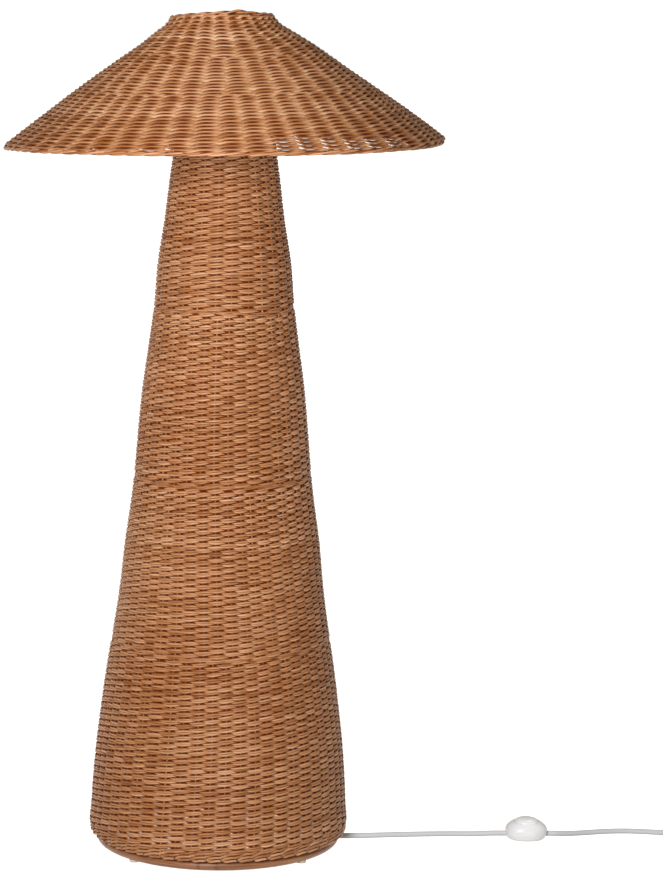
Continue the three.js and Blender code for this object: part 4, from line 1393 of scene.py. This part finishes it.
def shade_outline():
    """Radius and height of the shade's outside, a little apart, from its mouth to its rim."""
    collar = [(shade_mouth_radius, collar_top - collar_room),
              (shade_shoulder_radius, shade_top + collar_ease)]
    share = np.linspace(0, 1, 60)
    bulge = shade_bulge * np.sin(math.pi * share)
    run = shade_foot_radius + rim_reach - shade_shoulder_radius
    drop = shade_top - shade_foot + rim_drop
    slant = math.hypot(run, drop)
    radius = shade_shoulder_radius + run * share + bulge * drop / slant
    height = shade_top - drop * share + bulge * run / slant
    return np.concatenate([np.array(collar), np.stack([radius, height], axis=-1)])


collar_room = 0.0018
collar_ease = 0.0012
rim_reach = 0.0012
rim_drop = 0.0012
outline = shade_outline()
outline_places = np.concatenate([[0], np.cumsum(np.linalg.norm(np.diff(outline, axis=0), axis=1))])
shade_slant = float(outline_places[-1])


def outline_at(slant):
    """Radius and height of the outside at a distance down from the mouth."""
    radius = np.interp(slant, outline_places, outline[:, 0])
    height = np.interp(slant, outline_places, outline[:, 1])
    return radius, height


def cone_surface(angle, slant, inward):
    """Points at a distance down the shade and a depth in from its outside, and the way out."""
    radius, height = outline_at(slant)
    ahead = outline_at(np.minimum(slant + cone_step, shade_slant))
    behind = outline_at(np.maximum(slant - cone_step, 0))
    down = unit(np.stack([ahead[0] - behind[0], ahead[1] - behind[1]], axis=-1))
    deep = inward - cone_dent.at(angle, slant) * cone_dent_reach
    radius = radius + deep * down[..., 1]
    height = height - deep * down[..., 0]
    bow = shade_bow * np.sin(math.pi * np.clip(slant / shade_slant, 0, 1))
    points = round_line(angle, radius, height, (bow, 0))
    return tilt(points), unit(round_line(angle, -down[..., 1], down[..., 0]))


def spokes_at(radius):
    return [count for start, count in spoke_zones if radius >= start][-1]


def thin_patch(angle, slant):
    """One where the rows near the rim are thin and let the light through, nothing elsewhere."""
    thin = 0
    for middle, half_width, reach in thin_patches:
        away = np.abs((np.degrees(angle) - middle + 180) % 360 - 180)
        beside = np.clip((half_width - away) / thin_ease, 0, 1)
        from_rim = shade_slant - slant
        thin = thin + beside * float(np.clip((reach - from_rim) / thin_depth_ease, 0, 1))
    return thin


# Each patch's middle and half width, in degrees, and its reach up from the rim
thin_patches = [(303, 25, 0.036), (254, 7, 0.012), (235, 5, 0.012)]
thin_ease = 4
thin_depth_ease = 0.006
thin_share = 0.34
spoke_depth = 0.0050  # behind the crossings
shade_sunk_share = 0.88  # the painted shade in the lampshade's hollows is this much weaker
# where in the wall the spokes lie, which sets their painted shade
spoke_sunk = 0.7
ridge_highlight = 0.16  # the crossings are painted paler, a painted highlight
ridge_start = 0.4  # how far into a crossing the tone is neither paler nor darker; away from the crossings it is darker, painted shade
shade_rounds = (0.5, 1.6)  # a weaver's shortest and longest run round the shade
shade_tone_play = 0.08
shade_size_play = 0.06


shade_places = {spokes: loose_places(75 + spokes, spokes) for _, spokes in spoke_zones}


def weave_shade(material):
    """Rows of two weavers that cross between every two spokes."""
    rows = round(shade_slant / shade_row_pitch)
    tones = Lengths(71, 2 * rows, *shade_rounds, shade_tone_play)
    sizes = Lengths(72, 2 * rows, *shade_rounds, shade_size_play)
    rng = np.random.default_rng(73)
    strands = Strands()
    pieces = []
    for row in range(rows):
        slant = (row + 0.5) * shade_slant / rows
        spokes = spokes_at(float(outline_at(slant)[0]))
        samples = spokes * steps_to_spoke
        angle = angles_round(samples) + seam_angle
        sway = cone_sway.at(angle, slant) * cone_sway_reach
        leant = angle - spoke_lean.at(angle, slant) * spoke_lean_reach
        turn = weave_phase(leant, shade_places[spokes]) + wander(rng, spokes, samples) * row_phase_play
        for weaver in range(2):
            phase = turn + weaver * math.pi
            swing = np.cos(phase)
            crossing = np.sin(phase) ** 4
            level = slant + sway - shade_weave_slant * np.sin(phase) ** 5
            level = level + wander(rng, spokes, samples) * bead_play
            inward = shade_weave_depth * (1 - swing) + shade_half_depth - shade_ridge * crossing
            points, out = cone_surface(angle, level, inward)
            rounds = 2 * row + weaver + np.arange(samples) / samples
            size = 1 + sizes.at(rounds) + bead_size_play * wander(rng, spokes, samples)
            size = size * (1 - thin_share * thin_patch(angle, slant))
            half = shade_half_height + shade_swell * crossing + shade_back_swell * (1 - swing) / 2
            # Painted highlight on the proud crossings and painted shade between them
            tone = tones.at(rounds) + ridge_highlight * (crossing - ridge_start)
            strands.add(points, out, shade_half_depth * size, half * size,
                        tone=tone, closed=True, sunk=inward / shade_wall * shade_sunk_share)
        if (row + 1) % shade_rows_per_piece == 0 or row + 1 == rows:
            pieces.append(strands.build(f"shade_rows_{len(pieces) + 1}", material))
            strands = Strands()
    return pieces


spoke_start = 0.002  # from the mouth
spoke_overrun = 0.004  # on into the rim
spoke_overlap = 0.004  # on into the zone inside theirs
spoke_step = 0.005


def weave_spokes(material):
    rng = np.random.default_rng(81)
    strands = Strands(6)
    places = np.arange(spoke_start, shade_slant + spoke_overrun, spoke_step)
    radii = outline_at(places)[0]
    ends = [start for start, _ in spoke_zones[1:]] + [radii[-1] + 1]
    for (start, spokes), end in zip(spoke_zones, ends):
        slant = places[(radii >= start - spoke_overlap) & (radii <= end)]
        for spoke in range(spokes):
            base = stake_angle(spoke, shade_places[spokes]) + math.pi / spokes
            angle = base + spoke_lean.at(base, slant) * spoke_lean_reach
            points, out = cone_surface(angle, slant, np.full(len(slant), spoke_depth))
            strands.add(points, out, shade_spoke_radius, shade_spoke_radius,
                        tone=rng.normal(*stake_tones), sunk=spoke_sunk)
    return [strands.build("shade_spokes", material)]


for woven in [*weave_shade(rattan), *weave_spokes(rattan)]:
    settle(woven, "shade", "rattan", "woven_shade")


def make_shade_borders():
    low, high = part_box("shade_rim_border")
    strands = Strands()
    twisted_ring(strands, high.x - rim_twist_inset, low.z + rim_twist_up, 3, rim_twist_offset,
                 rim_twist_thickness, 24, 91, lift=tilt)
    settle(strands.build("shade_rim_twist", rattan), "shade", "rattan", "shade_rim_border")
    strands = Strands()
    twisted_ring(strands, shade_mouth_radius - mouth_twist_inset, collar_top - mouth_twist_drop,
                 2, mouth_twist_offset, mouth_twist_thickness, 9, 95, lift=tilt)
    settle(strands.build("shade_top_twist", rattan), "shade", "rattan", "shade_top_border")


rim_twist_inset = 0.0042
rim_twist_up = 0.0048
rim_twist_offset = 0.0014
rim_twist_thickness = 0.0015
mouth_twist_offset = 0.0011
mouth_twist_thickness = 0.0013
mouth_twist_inset = 0.0012
mouth_twist_drop = 0.0028
make_shade_borders()


# Foot hoop

pole_steps = 720
pole_sides = 24
pole_node_angles = (22, 81, 141, 204, 261, 269.5, 331)  # degrees round, where the cane had its joints
pole_node_width = 0.8
pole_seam_angle = 304
pole_tones = (0.05, -0.03)  # past the seam and before it
pole_node_tone = 0.16  # how much darker a joint is
notch_height = 0.0035
notch_radius = 0.0060


def pole_tone(angle):
    """Dark at the cane's joints, and a step at the seam where its two ends meet."""
    tone = np.where(angle % 360 > pole_seam_angle, *pole_tones)
    for node in pole_node_angles:
        away = (angle - node + 180) % 360 - 180
        tone = tone - pole_node_tone * np.exp(-(away / pole_node_width) ** 2)
    return tone


def make_hoop():
    low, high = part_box("foot_hoop")
    half = (high.z - low.z) / 2
    radius = high.x - half + foot_flare
    angle = angles_round(pole_steps)
    line = round_line(angle, radius, low.z + half - foot_drop)
    out = round_line(angle, 1, 0)
    strands = Strands(pole_sides)
    strands.add(line, out, half, half, tone=pole_tone(np.degrees(angle)), closed=True)
    hoop = strands.build("foot_pole", rattan_pole)
    notch(hoop, radius, half)
    settle(hoop, "base", "rattan_pole", "foot_hoop")


def notch(hoop, radius, half):
    """Cuts the way for the lead through the pole."""
    turn = Matrix.Rotation(math.pi / 2, 4, "Y")
    outline = [(0, radius - 2 * half), (notch_radius, radius - 2 * half),
               (notch_radius, radius + 2 * half), (0, radius + 2 * half)]
    cutter = turned("notch", outline, rattan_pole)
    moved(cutter, (0, near_route[0][1], notch_height), turn)
    cut = hoop.modifiers.new("notch", "BOOLEAN")
    cut.operation = "DIFFERENCE"
    cut.object = cutter
    shaped_hoop = hoop.evaluated_get(bpy.context.evaluated_depsgraph_get())
    hoop.data = bpy.data.meshes.new_from_object(shaped_hoop)
    hoop.modifiers.clear()
    bpy.data.objects.remove(cutter)


make_hoop()


# Fittings

fitting_sides = 72
fitting_edge = 0.0006
holder_shoulder_share = 0.45  # of the cap's height, up to its widest
holder_neck_radius = 0.012
holder_floor = 0.002
holder_wall = 0.0025
holder_lip_radius = 0.015
holder_lip_height = 0.002
grip_radius = 0.025
grip_depth = 0.001
grip_count = 12
shade_ring_room = 0.0005
fitter_radius = 0.021
fitter_width = 0.006
carrier_wire_radius = 0.0025
arm_wire_radius = 0.002
arm_weld = 0.001
arm_count = 3
arm_shares = [(0.0, 0.0), (0.2, 0.02), (0.42, 0.16), (0.72, 0.55), (1.0, 1.0)]
bulb_neck_radius = 0.0144
bulb_insulator_radius = 0.009
bulb_cap_taper = 0.004
bulb_threads = 6
bulb_thread_depth = 0.0009
bulb_tip_share = 0.7
# Share of the globe's height and of its largest radius
globe_shares = [(0.0, 0.97), (0.16, 1.0), (0.36, 0.97), (0.56, 0.86), (0.76, 0.64), (0.91, 0.37),
                (0.98, 0.16), (1.0, 0.0)]
glide_edge = 0.0012
glide_height = 0.004
glide_stem_radius = 0.0014


def fitting(name, node, body, material, outline, **ways):
    """A turned piece with softened edges, in the place of a plainer one."""
    piece = turned(name, softened(outline, fitting_edge), material, sides=fitting_sides, **ways)
    return settle(piece, body, material.name.split(".")[0], node)


def make_holder():
    low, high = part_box("holder_cap")
    radius = half_across("holder_cap")
    inside = radius - holder_wall
    hole = half_across("threaded_tube") + seat_gap
    shoulder = low.z + (high.z - low.z) * holder_shoulder_share
    cap = [(hole, low.z), (holder_neck_radius, low.z), (radius, shoulder), (radius, high.z),
           (inside, high.z), (inside, shoulder + holder_floor / 2),
           (holder_neck_radius, low.z + holder_floor), (hole, low.z + holder_floor), (hole, low.z)]
    fitting("lampholder_cap", "holder_cap", "base", black_plastic, cap)
    low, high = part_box("holder_shell")
    lip = high.z - holder_lip_height
    shell = [(inside, low.z), (radius, low.z), (radius, high.z), (holder_lip_radius, high.z),
             (holder_lip_radius, lip), (inside, lip), (inside, low.z)]
    fitting("lampholder_shell", "holder_shell", "base", black_plastic, shell)
    make_grip_ring("lampholder_seat", "seat_ring", "base", radius + seat_gap)
    make_grip_ring("lampholder_ring", "shade_ring", "ring", radius + shade_ring_room)


def make_grip_ring(name, node, body, hole):
    low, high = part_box(node)
    ring = [(hole, low.z), (grip_radius, low.z), (grip_radius, high.z), (hole, high.z), (hole, low.z)]
    fitting(name, node, body, black_plastic, ring, grips=grip_count, grip_depth=grip_depth)


def make_carrier():
    """Fitter between the two rings, and three arms up to the wire ring under the shade's top."""
    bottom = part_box("seat_ring")[1].z + seat_gap
    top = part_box("shade_ring")[0].z - seat_gap
    outer = fitter_radius + fitter_width
    fitter = [(fitter_radius, bottom), (outer, bottom), (outer, top), (fitter_radius, top),
              (fitter_radius, bottom)]
    fitting("shade_fitter", "shade_carrier", "shade", black_steel, fitter)
    strands = Strands(cord_sides)
    ring_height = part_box("shade_carrier")[1].z - carrier_wire_radius
    radius = half_across("shade_carrier") - carrier_wire_radius
    out = round_line(angles_round(fitting_sides), 1, 0)
    wire = out * radius + [0, 0, ring_height]
    strands.add(tilt(wire), out, carrier_wire_radius, carrier_wire_radius, closed=True)
    shares = np.array(arm_shares)
    start = outer - arm_weld
    reach = start + (radius - start) * shares[:, 0]
    height = (bottom + top) / 2 + (ring_height - (bottom + top) / 2) * shares[:, 1]
    for turn in angles_round(arm_count):
        arm = tilt(smooth_line(round_line(turn, reach, height), cord_step))
        beside = np.array([-math.sin(turn), math.cos(turn), 0])
        strands.add(arm, beside, arm_wire_radius, arm_wire_radius)
    settle(strands.build("shade_wires", black_steel), "shade", "black_steel", "shade_carrier")


def make_bulb():
    low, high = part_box("bulb_globe")
    radius = half_across("bulb_globe")
    share = np.sin(np.linspace(0, math.pi / 2, 40))
    reach = radius * smooth_through(share, globe_shares)
    outline = [(0, low.z), *zip(reach, low.z + (high.z - low.z) * share)]
    settle(turned("bulb_dome", outline, opal_globe, sides=fitting_sides), "bulb", "opal_globe", "bulb_globe")
    low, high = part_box("bulb_collar")
    collar = [(0, low.z), (bulb_neck_radius, low.z), (radius * globe_shares[0][1], high.z), (0, high.z)]
    fitting("bulb_neck", "bulb_collar", "bulb", white_plastic, collar)
    low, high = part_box("bulb_cap")
    share = np.linspace(0, 1, 8 * bulb_threads + 1)
    thread = bulb_thread_depth * ribbed(share, bulb_threads)
    start = low.z + bulb_cap_taper
    outline = [(0, low.z), (bulb_insulator_radius, low.z),
               *zip(half_across("bulb_cap") - thread, start + (high.z - start) * share), (0, high.z)]
    settle(turned("bulb_screw", outline, brass, sides=fitting_sides), "bulb", "brass", "bulb_cap")
    low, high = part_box("bulb_tip")
    radius = half_across("bulb_tip")
    tip = [(0, low.z), (radius * bulb_tip_share, low.z), (radius, high.z), (0, high.z)]
    fitting("bulb_contact", "bulb_tip", "bulb", brass, tip)


def make_glides():
    for place in ("front_left", "front_right", "back_right", "back_left"):
        node = f"glide_{place}"
        low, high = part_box(node)
        x, y, _ = middle_of(node)
        radius = half_across(node)
        outline = [(0, low.z), (radius - glide_edge, low.z), (radius, low.z + glide_edge),
                   (radius, glide_height), (glide_stem_radius, glide_height),
                   (glide_stem_radius, high.z), (0, high.z)]
        piece = fitting(f"pole_{node}", node, "base", pale_plastic, outline)
        moved(piece, (x, y, 0))


make_holder()
make_carrier()
make_bulb()
make_glides()


# Finishes of the nodes that stay

node_finishes = {
    "body_frame": black_steel,
    "holder_bracket": zinc,
    "bracket_screw_left": zinc,
    "bracket_screw_right": zinc,
    "threaded_tube": zinc,
    "tube_washer": zinc,
    "tube_nut": zinc,
    "cord_grommet": white_plastic,
    "holder_core": white_plastic,
    "screw_shell": brass,
    "centre_contact": brass,
    "lead_tie_low": black_plastic,
    "lead_tie_middle": black_plastic,
    "lead_tie_high": black_plastic,
}

for node, finish in node_finishes.items():
    held = bpy.data.objects[node].data.materials
    held.clear()
    held.append(finish)
